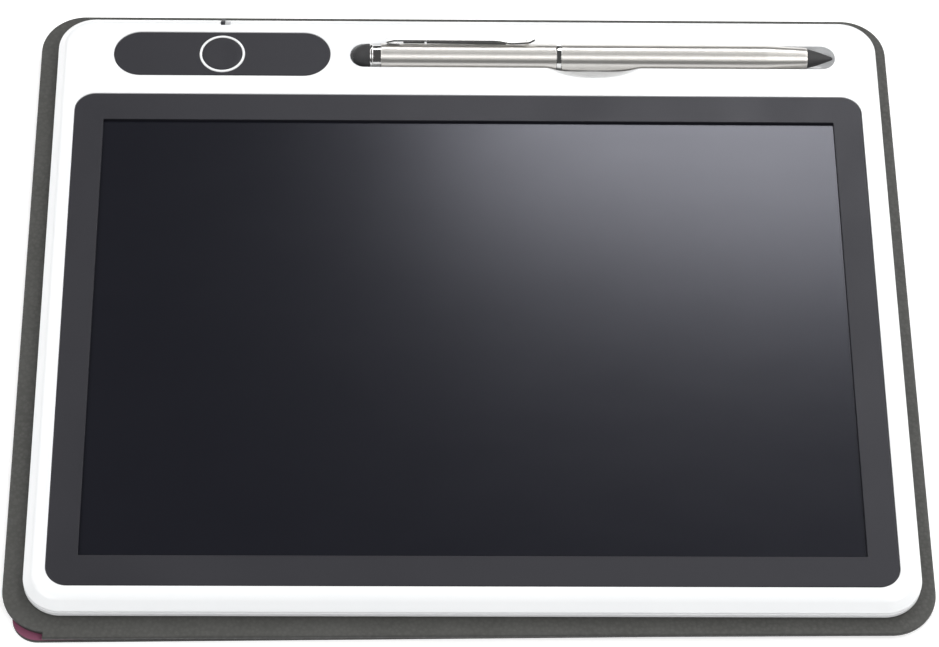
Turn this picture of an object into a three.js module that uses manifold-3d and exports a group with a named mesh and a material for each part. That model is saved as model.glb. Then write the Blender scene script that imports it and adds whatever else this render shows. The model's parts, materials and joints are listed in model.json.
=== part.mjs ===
// A 10 inch LCD writing tablet on a thin leather-textured base, with its metal stylus in the groove.
// Millimetres, +Z up. Plan positions are measured from the centre of the screen: +X to the right
// along the long side, +Y away from the writer towards the stylus groove. Heights start at the
// underside of the base. The last lines move the whole assembly to the middle of its own footprint.

import * as THREE from 'three';
import { mergeVertices } from 'three/addons/utils/BufferGeometryUtils.js';
import Module from 'manifold-3d';

const wasm = await Module();
wasm.setup();

// ---- driving dimensions -------------------------------------------------------------------

// base: a grey board over a wine-red lining and a dark sole; the front edges aren't quite square,
// so each one runs from its place at the left corner to its place at the right corner
const BASE_LEFT = -124.95;
const BASE_RIGHT = 123.3;
const BASE_BACK = 112.8;
const BASE_CORNER = 12.5;
const BASE_TAPER_LEFT = 0.35; // how much narrower the board is at the back, on each side
const BASE_TAPER_RIGHT = 0.65;
const BOARD_FRONT = [-92.8, -90.9];
const SOLE_FRONT = [-92.85, -89.8];
const LINING_FRONT = [-92.75, -88.0];
const UNDERLAY_LEFT = -121.9;
const UNDERLAY_RIGHT = 121.3;
const UNDERLAY_BACK = 110.6;
const UNDERLAY_CORNER = 10.0;
const UNDERLAY_FRONT_LEFT_CORNER = 7.0;
const TRIM_ARC = 13.0; // radius of the trimmed front left corner of the board
const TRIM_END = 11.3; // how far along the front edge the trim runs
const TRIM_STEP = 1.7; // how far the trim stands back from the front edge

// housing: a white front shell over a white rear shell
const HOUSING_HALF_WIDTH = 119.3;
const HOUSING_FRONT = -86.5;
const HOUSING_BACK = 109.2;
const HOUSING_CORNER = 10.4;
const SLOPE_RUN = 2.75;
const SLOPE_DROP = 3.0;
const WALL = 3.2; // housing outline to the front shell's cavity
const REAR_WALL = 1.8;
const ADHESIVE_INSET = 2.0;

// screen
const BEZEL_WIDTH = 226.3;
const BEZEL_HEIGHT = 160.5;
const BEZEL_CORNER = 5.8;
const SCREEN_WIDTH = 209.7;
const SCREEN_HEIGHT = 142.4;
const FILM_LAP = 1.8; // how far the film runs under the bezel
const BACKPLATE_LAP = 5.5;
const WINDOW_CORNER = 0.3;

// heights
const SOLE_TOP = 0.8;
const LINING_BOTTOM = 0.85;
const LINING_TOP = 1.35;
const BOARD_BOTTOM = 1.4;
const BOARD_TOP = 2.9;
const ADHESIVE_BOTTOM = 2.95;
const ADHESIVE_TOP = 3.25;
const REAR_BOTTOM = 3.3;
const REAR_FLOOR_TOP = 4.3;
const REAR_TOP = 5.05;
const FRONT_BOTTOM = 5.35;
const CEILING = 7.5; // underside of the front shell's top wall
const FACE = 9.1; // top face of the front shell
const RECESS_FLOOR = 8.2; // floor of the bezel and button panel recesses
const PANEL_BOTTOM = 8.25;
const PANEL_TOP = 9.05;
const FILM_BOTTOM = 7.45;
const FILM_TOP = 8.2;
const BACKPLATE_BOTTOM = 6.35;
const BACKPLATE_TOP = 7.4;

// button group
const PILL_X = -71.5;
const PILL_Y = 94.8;
const PILL_LENGTH = 62.5;
const PILL_HEIGHT = 15.4;
const RING_OUTER = 6.6;
const RING_INNER = 5.86;
const BUTTON_RADIUS = 5.4;
const BUTTON_BOTTOM = 7.9;
const BUTTON_TOP = 9.15;
const STEM_RADIUS = 1.35;
const STEM_BOTTOM = 7.4;
const PLUNGER_BOTTOM = 6.75;
const PLUNGER_TOP = 7.35;

// stylus and its groove; a little more than half of the barrel lies below the face
const PEN_Y = 94.5;
const PEN_Z = 8.6;
const PEN_RADIUS = 3.8;
const PEN_BORE = 3.15;
const DOME_START = -33.75;
const DOME_END = -28.75;
const DOME_RADIUS = 3.6;
const COLLAR_END = -25.4;
const COLLAR_RADIUS = 3.55;
const MID_RING_START = 25.5;
const MID_RING_END = 27.0;
const TAPER_START = 86.6;
const TAPER_END = 98.6;
const TIP_BASE_RADIUS = 2.8;
const TIP_END = 106.2;
const PIN_RADIUS = 1.6; // the dome's pin and the bore at the tip
const TIP_PIN_RADIUS = 1.45;
const GROOVE_RADIUS = 4.12;
const GROOVE_LEFT = -34.35;
const GROOVE_RIGHT = 106.8;
const TROUGH_WALL = 2.0;
const TROUGH_FRONT = PEN_Y - 9.4;
const TROUGH_BACK = PEN_Y + 6;
const TROUGH_BOTTOM = 4.0;
const POCKET_BOTTOM = 3.85; // the rear shell's floor is thinner under the trough
const POCKET_ROOM = 0.4;
const SCOOP_X = 36.2;
const SCOOP_Y = PEN_Y - 2.3;
const SCOOP_HALF = [14.2, 5.5, 3.5]; // half length, half width and depth

// clip: a bent strip with two side flanges, on the far upper side of the barrel; heights are from
// the stylus axis
const CLIP_LEAN = THREE.MathUtils.degToRad(54);
const CLIP_START = -24.2;
const CLIP_END = 19.4;
const CLIP_WIDTH = 3.0;
const CLIP_OUTER = 5.4;
const CLIP_INNER = 4.9;
const CLIP_BEND = -21.6; // where the strip bends down to its root
const CLIP_ROOT_END = -20.0;
const CLIP_SEAT = PEN_RADIUS + 0.12;
const CLIP_TOUCH = CLIP_END - 7; // where the strip comes down to the barrel
const CLIP_BALL_RADIUS = 0.7;
const FLANGE_BOTTOM = 4.35;
const FLANGE_THICKNESS = 0.4;
const FLANGE_START = -19.6;
const FLANGE_SPLIT = [-12.8, -12.2];
const FLANGE_END = CLIP_TOUCH - 1.6;

// lock slider: a thin rib over the back rim, in line with the button
const LOCK_X = -71.6;
const LOCK_TRAVEL = 1.5;
const RIB_WIDTH = 1.1;
const RIB_FRONT = 105.6;
const RIB_BOTTOM = 7.05;
const RIB_PROUD = 0.15; // how far the rib stands above the rim
const TONGUE_HALF = 2.5;
const TONGUE_FRONT = 100.2;
const TONGUE_BOTTOM = 7.0;
const TONGUE_TOP = 7.35;
const PEG_HALF = 0.4;
const PEG_Y = 101.4;
const PEG_BOTTOM = 6.2;
const PEG_CLEARANCE = 0.15; // under the peg, in the switch
const LOCK_SLOT_BOTTOM = 6.9;
const LOCK_SWITCH_X = [LOCK_X - 3.2, LOCK_X + 3.8];
const LOCK_SWITCH_Y = [PEG_Y - 1.8, PEG_Y + 1.7];

// battery
const CELL_X = -52.5;
const CELL_Y = 94.6;
const CELL_RADIUS = 10;
const CELL_THICKNESS = 1.6;
const DOOR_RADIUS = 11.2;
const DOOR_TOP = 3.85;
const DOOR_LEDGE = 3.95;
const COIN_SLOT = [12, 1.6]; // length and width
const COIN_SLOT_TOP = 3.6;
const WINDOW_RADIUS = 11.7;
const LEAF_THICKNESS = 0.25;
const LEAF_FOOT = 1.8; // how much of each contact lies on the circuit board
const LEAF_REACH = 3; // how far past the cell's middle the top contact goes
const TOP_LEAF_WIDTH = 4;
const SIDE_LEAF_WIDTH = 2.4;
const SIDE_LEAF_BACK = 3; // in front of the cell's middle
const CELL_CLEARANCE = 0.15; // under and over the cell

// screws and the bosses that they join: each boss is split between the two shells
const BOSS_RADIUS = 2.4;
const BOSS_SPLIT = 6.0;
const SCREW_HOLE = 1.15;
const SCREW_HOLE_TOP = 8.3;
const SCREW_TOP = 8.1;
const HEAD_RECESS = 1.9;
const HEAD_RECESS_TOP = 4.6;
const HEAD_BOTTOM = 3.65;
const DRIVER_SLOT = [2.2, 0.4, 0.35]; // length, width and depth
const SCREW_PLACES = [
  [-111.4, -79.4],
  [0, -79.6],
  [111.4, -79.4],
  [111.8, 101.8],
  [-20, 103.4],
  [-111.8, 101.8],
];

// electronics
const PCB_LEFT = -101;
const PCB_RIGHT = -63.4;
const PCB_FRONT = PILL_Y - 8;
const PCB_BACK = PILL_Y + 8.4;
const PCB_BOTTOM = 5.0;
const PCB_TOP = 5.8;
const SOLDER_GAP = 0.05;
const SWITCH_HALF = 3.0;
const SWITCH_TOP = 7.05;
const SWITCH_WELL_BOTTOM = 6.15;
const LOCK_SWITCH_TOP = 6.8;
const CHIP_AT = 22; // from the circuit board's left end
const CHIP_SIZE = [6, 6, 0.9];
const RIBBON_WIDTH = 9;
const RIBBON_THICKNESS = 0.2;
const RIBBON_START_Z = 6.9;
const RIBBON_AT = 4; // from the circuit board's left end
const RIBBON_LEVEL_START = 1.2;
const RIBBON_LEVEL_END = 1.5;
const RIBBON_LAP = [0.4, 3]; // how far onto the board it starts, and the length lying on it
const BEND_SHIFT = 0.1; // the upper face bends a little later than the lower face

// gaps
const GAP = 0.1;
const FIT = 0.3;
const BIG = 400; // a size beyond the whole object, for cutting bodies

// ---- materials ----------------------------------------------------------------------------

function paint(color, roughness, metalness = 0) {
  return new THREE.MeshStandardMaterial({ color, roughness, metalness });
}

const white = paint(0xf4f5f5, 0.3);
const darkPlastic = paint(0x46454a, 0.45);
const screenFilm = paint(0x24262f, 0.12);
const steel = paint(0xc9c6bf, 0.32, 1);
const chrome = paint(0xe8e8e8, 0.08, 1);
const rubber = paint(0x333335, 0.7);
const leather = paint(0x55554f, 0.75);
const wine = paint(0x7a2f4c, 0.6);
const sole = paint(0x3a3a38, 0.85);
const boardGreen = paint(0x1f5a38, 0.5);
const blackPlastic = paint(0x222222, 0.5);
const copper = paint(0xb87333, 0.35, 1);
const foam = paint(0xd8d4c8, 0.9);

// ---- helpers ------------------------------------------------------------------------------

const tablet = new THREE.Group();

function place(name, geometry, material, parent = tablet) {
  const mesh = new THREE.Mesh(geometry, material);
  mesh.name = name;
  parent.add(mesh);
  return mesh;
}

// a three.js geometry as a manifold solid
function solid(geometry) {
  const bare = geometry.clone();
  bare.deleteAttribute('normal');
  bare.deleteAttribute('uv');
  const merged = mergeVertices(bare, 1e-4);
  return new wasm.Manifold(new wasm.Mesh({
    numProp: 3,
    vertProperties: Float32Array.from(merged.attributes.position.array),
    triVerts: Uint32Array.from(merged.index.array),
  }));
}

// a manifold solid as a three.js geometry
function geometryOf(body) {
  const mesh = body.getMesh();
  const geometry = new THREE.BufferGeometry();
  geometry.setAttribute('position', new THREE.BufferAttribute(mesh.vertProperties, 3));
  geometry.setIndex(new THREE.BufferAttribute(mesh.triVerts, 1));
  geometry.computeVertexNormals();
  return geometry;
}

// an outline with one corner radius for each corner: front left, front right, back right, back left
function roundedOutline(left, right, front, back, [fl, fr, br, bl]) {
  const quarter = Math.PI / 2;
  const shape = new THREE.Shape();
  shape.absarc(right - fr, front + fr, fr, -quarter, 0);
  shape.absarc(right - br, back - br, br, 0, quarter);
  shape.absarc(left + bl, back - bl, bl, quarter, 2 * quarter);
  shape.absarc(left + fl, front + fl, fl, 2 * quarter, 3 * quarter);
  shape.closePath();
  return shape;
}

function roundedRectangle(x, y, width, height, radius) {
  const corners = [radius, radius, radius, radius];
  return roundedOutline(x - width / 2, x + width / 2, y - height / 2, y + height / 2, corners);
}

// an outline through [x, y, radius] corners, counter-clockwise, with each corner turned into an arc
function filleted(corners) {
  const shape = new THREE.Shape();
  corners.forEach(([x, y, radius], index) => {
    const last = corners[(index + corners.length - 1) % corners.length];
    const next = corners[(index + 1) % corners.length];
    const here = new THREE.Vector2(x, y);
    const toLast = new THREE.Vector2(last[0], last[1]).sub(here).normalize();
    const toNext = new THREE.Vector2(next[0], next[1]).sub(here).normalize();
    const half = Math.acos(toLast.dot(toNext)) / 2;
    const inwards = toLast.clone().add(toNext).normalize();
    const centre = here.clone().addScaledVector(inwards, radius / Math.sin(half));
    const start = here.clone().addScaledVector(toLast, radius / Math.tan(half)).sub(centre);
    const end = here.clone().addScaledVector(toNext, radius / Math.tan(half)).sub(centre);
    shape.absarc(centre.x, centre.y, radius, start.angle(), end.angle());
  });
  shape.closePath();
  return shape;
}

function extrude(shape, bottom, top, curveSegments = 6) {
  const geometry = new THREE.ExtrudeGeometry(shape, {
    depth: top - bottom,
    bevelEnabled: false,
    curveSegments,
  });
  return geometry.translate(0, 0, bottom);
}

function disc(x, y, radius, bottom, top, segments = 32) {
  const geometry = new THREE.CylinderGeometry(radius, radius, top - bottom, segments);
  return geometry.rotateX(Math.PI / 2).translate(x, y, (top + bottom) / 2);
}

function block(xs, ys, zs) {
  const geometry = new THREE.BoxGeometry(xs[1] - xs[0], ys[1] - ys[0], zs[1] - zs[0]);
  return geometry.translate((xs[0] + xs[1]) / 2, (ys[0] + ys[1]) / 2, (zs[0] + zs[1]) / 2);
}

// a turned piece along X from [x, radius] points; the axis is the stylus axis
function turned(points, segments = 24) {
  const profile = points.map(([x, radius]) => new THREE.Vector2(radius, x));
  const geometry = new THREE.LatheGeometry(profile, segments);
  return geometry.rotateZ(-Math.PI / 2);
}

function hole(x, y, radius) {
  return new THREE.Path().absarc(x, y, radius, 0, 2 * Math.PI, true);
}

const shellCorners = [HOUSING_CORNER, HOUSING_CORNER, HOUSING_CORNER, HOUSING_CORNER];

// the housing outline, moved inwards by an inset
function housingOutline(inset, corners = shellCorners) {
  return roundedOutline(
    -HOUSING_HALF_WIDTH + inset,
    HOUSING_HALF_WIDTH - inset,
    HOUSING_FRONT + inset,
    HOUSING_BACK - inset,
    corners.map((radius) => Math.max(radius - inset, 1)),
  );
}

// ---- base ---------------------------------------------------------------------------------

function makeBase() {
  for (const [name, front, bottom, top, material] of [
    ['base_sole', SOLE_FRONT, 0, SOLE_TOP, sole],
    ['base_lining', LINING_FRONT, LINING_BOTTOM, LINING_TOP, wine],
  ]) {
    const outline = filleted([
      [UNDERLAY_LEFT, front[0], UNDERLAY_FRONT_LEFT_CORNER],
      [UNDERLAY_RIGHT, front[1], UNDERLAY_CORNER],
      [UNDERLAY_RIGHT, UNDERLAY_BACK, UNDERLAY_CORNER],
      [UNDERLAY_LEFT, UNDERLAY_BACK, UNDERLAY_CORNER],
    ]);
    outline.holes.push(hole(CELL_X, CELL_Y, WINDOW_RADIUS));
    place(name, extrude(outline, bottom, top, 8), material);
  }

  // the board's front left corner is trimmed to an arc that ends in a short step
  const board = filleted([
    [BASE_LEFT, BOARD_FRONT[0], 0.01],
    [BASE_RIGHT, BOARD_FRONT[1], BASE_CORNER],
    [BASE_RIGHT - BASE_TAPER_RIGHT, BASE_BACK, BASE_CORNER],
    [BASE_LEFT + BASE_TAPER_LEFT, BASE_BACK, BASE_CORNER],
  ]);
  board.holes.push(hole(CELL_X, CELL_Y, WINDOW_RADIUS));
  const trim = new THREE.Shape();
  trim.moveTo(BASE_LEFT - 1, BOARD_FRONT[0] - 1);
  trim.lineTo(BASE_LEFT + TRIM_END, BOARD_FRONT[0] - 1);
  const centreX = BASE_LEFT + TRIM_ARC;
  const centreY = BOARD_FRONT[0] + TRIM_ARC + TRIM_STEP;
  const endAngle = Math.asin((TRIM_END - TRIM_ARC) / TRIM_ARC) - Math.PI / 2;
  trim.absarc(centreX, centreY, TRIM_ARC, endAngle, -Math.PI, true);
  trim.lineTo(BASE_LEFT - 1, centreY);
  trim.closePath();
  const boardPlate = solid(extrude(board, BOARD_BOTTOM, BOARD_TOP, 8));
  const cut = solid(extrude(trim, BOARD_BOTTOM - 1, BOARD_TOP + 1, 10));
  place('base_board', geometryOf(boardPlate.subtract(cut)), leather);

  const pad = housingOutline(ADHESIVE_INSET);
  pad.holes.push(hole(CELL_X, CELL_Y, WINDOW_RADIUS));
  place('adhesive_sheet', extrude(pad, ADHESIVE_BOTTOM, ADHESIVE_TOP, 4), foam);
}

// ---- screws -------------------------------------------------------------------------------

function makeScrews() {
  const [slotLength, slotWidth, slotDepth] = DRIVER_SLOT;
  SCREW_PLACES.forEach(([x, y], index) => {
    const head = solid(disc(x, y, HEAD_RECESS - 0.2, HEAD_BOTTOM, HEAD_RECESS_TOP - GAP, 16));
    const shank = solid(disc(x, y, SCREW_HOLE - 0.15, HEAD_RECESS_TOP - FIT, SCREW_TOP, 12));
    const driver = solid(block(
      [x - slotLength / 2, x + slotLength / 2],
      [y - slotWidth / 2, y + slotWidth / 2],
      [REAR_BOTTOM, HEAD_BOTTOM + slotDepth],
    ));
    place(`shell_screw_${index + 1}`, geometryOf(head.add(shank).subtract(driver)), steel);
  });
}

// ---- rear shell ---------------------------------------------------------------------------

function makeRearShell() {
  let shell = solid(extrude(housingOutline(0), REAR_BOTTOM, REAR_TOP));
  const cavity = housingOutline(REAR_WALL);
  shell = shell.subtract(solid(extrude(cavity, REAR_FLOOR_TOP, REAR_TOP + 1)));
  const pocket = block(
    [GROOVE_LEFT - TROUGH_WALL - POCKET_ROOM, GROOVE_RIGHT + TROUGH_WALL],
    [TROUGH_FRONT - POCKET_ROOM, TROUGH_BACK + POCKET_ROOM],
    [POCKET_BOTTOM, REAR_TOP],
  );
  shell = shell.subtract(solid(pocket));
  for (const [x, y] of SCREW_PLACES) {
    shell = shell.add(solid(disc(x, y, BOSS_RADIUS, REAR_BOTTOM, BOSS_SPLIT, 16)));
  }
  for (const [x, y] of SCREW_PLACES) {
    shell = shell.subtract(solid(disc(x, y, HEAD_RECESS, REAR_BOTTOM - 1, HEAD_RECESS_TOP, 16)));
    shell = shell.subtract(solid(disc(x, y, SCREW_HOLE, REAR_BOTTOM, BOSS_SPLIT + 1, 12)));
  }
  // the door's opening is stepped, so the door rests against a ledge
  shell = shell.subtract(solid(disc(CELL_X, CELL_Y, DOOR_RADIUS + 0.2, REAR_BOTTOM - 1, DOOR_LEDGE)));
  shell = shell.subtract(solid(disc(CELL_X, CELL_Y, CELL_RADIUS + 0.35, REAR_BOTTOM, REAR_FLOOR_TOP + 1)));
  place('rear_shell', geometryOf(shell), white);
}

// ---- front shell --------------------------------------------------------------------------

function makeFrontShell() {
  // chamfered outer body: the bevel of the extrusion makes the slope around the top edge
  const outline = housingOutline(SLOPE_RUN);
  const outer = new THREE.ExtrudeGeometry(outline, {
    depth: 1,
    bevelEnabled: true,
    bevelSegments: 1,
    bevelSize: SLOPE_RUN,
    bevelThickness: SLOPE_DROP,
    curveSegments: 6,
  });
  outer.translate(0, 0, FACE - SLOPE_DROP - 1);
  let shell = solid(outer);
  shell = shell.subtract(solid(block([-BIG, BIG], [-BIG, BIG], [-BIG, FRONT_BOTTOM])));

  const cavity = solid(extrude(housingOutline(WALL), FRONT_BOTTOM - 1, CEILING));
  shell = shell.subtract(cavity);

  // trough that carries the stylus groove and the finger scoop
  const trough = block(
    [GROOVE_LEFT - TROUGH_WALL, GROOVE_RIGHT + TROUGH_WALL - POCKET_ROOM],
    [TROUGH_FRONT, TROUGH_BACK],
    [TROUGH_BOTTOM, CEILING + 0.2],
  );
  shell = shell.add(solid(trough));
  for (const [x, y] of SCREW_PLACES) {
    shell = shell.add(solid(disc(x, y, BOSS_RADIUS, BOSS_SPLIT + GAP, CEILING + 0.2, 16)));
  }
  for (const [x, y] of SCREW_PLACES) {
    shell = shell.subtract(solid(disc(x, y, SCREW_HOLE, BOSS_SPLIT - 1, SCREW_HOLE_TOP, 12)));
  }

  // window and recess for the screen, recess for the button panel
  const filmRoom = 2 * FILM_LAP + 0.4;
  const windowWidth = SCREEN_WIDTH + filmRoom;
  const windowHeight = SCREEN_HEIGHT + filmRoom;
  const screenWindow = roundedRectangle(0, 0, windowWidth, windowHeight, WINDOW_CORNER);
  shell = shell.subtract(solid(extrude(screenWindow, CEILING - 1, FACE + 1, 2)));
  const bezelRecess = roundedRectangle(0, 0, BEZEL_WIDTH + FIT, BEZEL_HEIGHT + FIT, BEZEL_CORNER + FIT / 2);
  shell = shell.subtract(solid(extrude(bezelRecess, RECESS_FLOOR, FACE + 1)));
  const pillHeight = PILL_HEIGHT + FIT;
  const pill = roundedRectangle(PILL_X, PILL_Y, PILL_LENGTH + FIT, pillHeight, pillHeight / 2 - 0.01);
  shell = shell.subtract(solid(extrude(pill, RECESS_FLOOR, FACE + 1, 10)));
  shell = shell.subtract(solid(disc(PILL_X, PILL_Y, BUTTON_RADIUS + FIT, CEILING - 1, FACE, 32)));

  // stylus groove: round-bottomed with round ends, and upright walls above the stylus axis
  const grooveX = (GROOVE_LEFT + GROOVE_RIGHT) / 2;
  const grooveLength = GROOVE_RIGHT - GROOVE_LEFT;
  const bar = new THREE.CapsuleGeometry(GROOVE_RADIUS, grooveLength - 2 * GROOVE_RADIUS, 6, 28);
  bar.rotateZ(Math.PI / 2).translate(grooveX, PEN_Y, PEN_Z);
  shell = shell.subtract(solid(bar));
  const upright = roundedRectangle(grooveX, PEN_Y, grooveLength, 2 * GROOVE_RADIUS, GROOVE_RADIUS - 0.01);
  shell = shell.subtract(solid(extrude(upright, PEN_Z, FACE + 1, 7)));

  // finger scoop beside the groove
  const scoop = new THREE.SphereGeometry(1, 32, 16);
  scoop.scale(...SCOOP_HALF).translate(SCOOP_X, SCOOP_Y, FACE);
  shell = shell.subtract(solid(scoop));

  // slot in the back rim for the lock slider
  const slot = block(
    [LOCK_X - RIB_WIDTH / 2 - FIT, LOCK_X + RIB_WIDTH / 2 + LOCK_TRAVEL + FIT],
    [RIB_FRONT - FIT, HOUSING_BACK + 1],
    [LOCK_SLOT_BOTTOM, FACE + 1],
  );
  shell = shell.subtract(solid(slot));
  place('front_shell', geometryOf(shell), white);
}

// ---- screen -------------------------------------------------------------------------------

function makeScreen() {
  const bezel = roundedRectangle(0, 0, BEZEL_WIDTH, BEZEL_HEIGHT, BEZEL_CORNER);
  const halfWidth = SCREEN_WIDTH / 2;
  const halfHeight = SCREEN_HEIGHT / 2;
  const opening = new THREE.Path();
  opening.moveTo(-halfWidth, -halfHeight);
  opening.lineTo(-halfWidth, halfHeight);
  opening.lineTo(halfWidth, halfHeight);
  opening.lineTo(halfWidth, -halfHeight);
  opening.closePath();
  bezel.holes.push(opening);
  place('screen_bezel', extrude(bezel, PANEL_BOTTOM, PANEL_TOP, 8), darkPlastic);

  const filmX = halfWidth + FILM_LAP;
  const filmY = halfHeight + FILM_LAP;
  place('lcd_film', block([-filmX, filmX], [-filmY, filmY], [FILM_BOTTOM, FILM_TOP]), screenFilm);

  const plateX = halfWidth + BACKPLATE_LAP;
  const plateY = halfHeight + BACKPLATE_LAP;
  const backplate = block([-plateX, plateX], [-plateY, plateY], [BACKPLATE_BOTTOM, BACKPLATE_TOP]);
  place('lcd_backplate', backplate, blackPlastic);
}

// ---- button group and electronics ---------------------------------------------------------

function makeControls() {
  const panel = roundedRectangle(PILL_X, PILL_Y, PILL_LENGTH, PILL_HEIGHT, PILL_HEIGHT / 2 - 0.01);
  panel.holes.push(hole(PILL_X, PILL_Y, RING_OUTER + GAP));
  place('button_panel', extrude(panel, PANEL_BOTTOM, PANEL_TOP, 12), darkPlastic);

  const ring = solid(disc(PILL_X, PILL_Y, RING_OUTER, PANEL_BOTTOM, FACE + 0.05, 40));
  const bore = solid(disc(PILL_X, PILL_Y, RING_INNER, PANEL_BOTTOM - 1, FACE + 1, 40));
  place('button_ring', geometryOf(ring.subtract(bore)), chrome);

  const cap = solid(disc(PILL_X, PILL_Y, BUTTON_RADIUS, BUTTON_BOTTOM, BUTTON_TOP, 40));
  const stem = solid(disc(PILL_X, PILL_Y, STEM_RADIUS, STEM_BOTTOM, BUTTON_BOTTOM + 0.2, 16));
  place('erase_button', geometryOf(cap.add(stem)), darkPlastic);
  const plunger = disc(PILL_X, PILL_Y, STEM_RADIUS, PLUNGER_BOTTOM, PLUNGER_TOP, 16);
  place('switch_plunger', plunger, blackPlastic);

  const body = solid(block(
    [PILL_X - SWITCH_HALF, PILL_X + SWITCH_HALF],
    [PILL_Y - SWITCH_HALF, PILL_Y + SWITCH_HALF],
    [PCB_TOP + SOLDER_GAP, SWITCH_TOP],
  ));
  const well = solid(disc(PILL_X, PILL_Y, STEM_RADIUS + FIT, SWITCH_WELL_BOTTOM, SWITCH_TOP + 1, 16));
  place('erase_switch', geometryOf(body.subtract(well)), steel);

  const circuit = block([PCB_LEFT, PCB_RIGHT], [PCB_FRONT, PCB_BACK], [PCB_BOTTOM, PCB_TOP]);
  place('circuit_board', circuit, boardGreen);
  const chipX = PCB_LEFT + CHIP_AT;
  const chipBottom = PCB_TOP + SOLDER_GAP;
  const [chipLength, chipWidth, chipHeight] = CHIP_SIZE;
  place('controller_chip', block(
    [chipX - chipLength / 2, chipX + chipLength / 2],
    [PILL_Y - chipWidth / 2, PILL_Y + chipWidth / 2],
    [chipBottom, chipBottom + chipHeight],
  ), blackPlastic);

  makeLock();
  makeRibbon();
  makeBattery();
}

// a profile drawn in Y and Z and pushed along X from the given place
function alongX(profile, start, length) {
  const geometry = new THREE.ExtrudeGeometry(profile, { depth: length, bevelEnabled: false });
  geometry.applyMatrix4(new THREE.Matrix4().makeBasis(
    new THREE.Vector3(0, 1, 0), new THREE.Vector3(0, 0, 1), new THREE.Vector3(1, 0, 0)));
  return geometry.translate(start, 0, 0);
}

function makeLock() {
  const ribLeft = LOCK_X - RIB_WIDTH / 2;
  const ribRight = LOCK_X + RIB_WIDTH / 2;
  const rib = new THREE.Shape();
  rib.moveTo(RIB_FRONT, RIB_BOTTOM);
  rib.lineTo(HOUSING_BACK - 0.2, RIB_BOTTOM);
  rib.lineTo(HOUSING_BACK - SLOPE_RUN * 0.6, FACE - SLOPE_DROP * 0.4 + RIB_PROUD);
  rib.lineTo(HOUSING_BACK - SLOPE_RUN, FACE + RIB_PROUD);
  rib.lineTo(RIB_FRONT, FACE + RIB_PROUD);
  rib.closePath();
  const tongue = block(
    [LOCK_X - TONGUE_HALF, LOCK_X + TONGUE_HALF],
    [TONGUE_FRONT, RIB_FRONT + GAP],
    [TONGUE_BOTTOM, TONGUE_TOP],
  );
  const neck = block([ribLeft, ribRight], [RIB_FRONT - GAP, RIB_FRONT + 1], [RIB_BOTTOM, TONGUE_TOP]);
  const peg = block([LOCK_X - PEG_HALF, LOCK_X + PEG_HALF], [PEG_Y - PEG_HALF, PEG_Y + PEG_HALF],
    [PEG_BOTTOM, TONGUE_BOTTOM + GAP]);
  const slider = solid(alongX(rib, ribLeft, RIB_WIDTH)).add(solid(tongue)).add(solid(neck)).add(solid(peg));
  place('lock_slider', geometryOf(slider), darkPlastic);

  const body = solid(block(LOCK_SWITCH_X, LOCK_SWITCH_Y, [PCB_TOP + SOLDER_GAP, LOCK_SWITCH_TOP]));
  const slotHalf = PEG_HALF + FIT;
  const slot = solid(block(
    [LOCK_X - slotHalf, LOCK_X + slotHalf + LOCK_TRAVEL],
    [PEG_Y - slotHalf, PEG_Y + slotHalf],
    [PEG_BOTTOM - PEG_CLEARANCE, LOCK_SWITCH_TOP + 1],
  ));
  place('lock_switch', geometryOf(body.subtract(slot)), steel);
}

function makeRibbon() {
  const start = SCREEN_HEIGHT / 2 + BACKPLATE_LAP + GAP;
  const landing = PCB_FRONT + RIBBON_LAP[0];
  const landingEnd = landing + RIBBON_LAP[1];
  const landingZ = PCB_TOP + SOLDER_GAP;
  const ribbon = new THREE.Shape();
  ribbon.moveTo(start, RIBBON_START_Z);
  ribbon.lineTo(start + RIBBON_LEVEL_START, RIBBON_START_Z);
  ribbon.lineTo(landing - RIBBON_LEVEL_END, landingZ);
  ribbon.lineTo(landingEnd, landingZ);
  ribbon.lineTo(landingEnd, landingZ + RIBBON_THICKNESS);
  ribbon.lineTo(landing - RIBBON_LEVEL_END + BEND_SHIFT, landingZ + RIBBON_THICKNESS);
  ribbon.lineTo(start + RIBBON_LEVEL_START + BEND_SHIFT, RIBBON_START_Z + RIBBON_THICKNESS);
  ribbon.lineTo(start, RIBBON_START_Z + RIBBON_THICKNESS);
  ribbon.closePath();
  place('lcd_ribbon', alongX(ribbon, PCB_LEFT + RIBBON_AT, RIBBON_WIDTH), copper);
}

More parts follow.
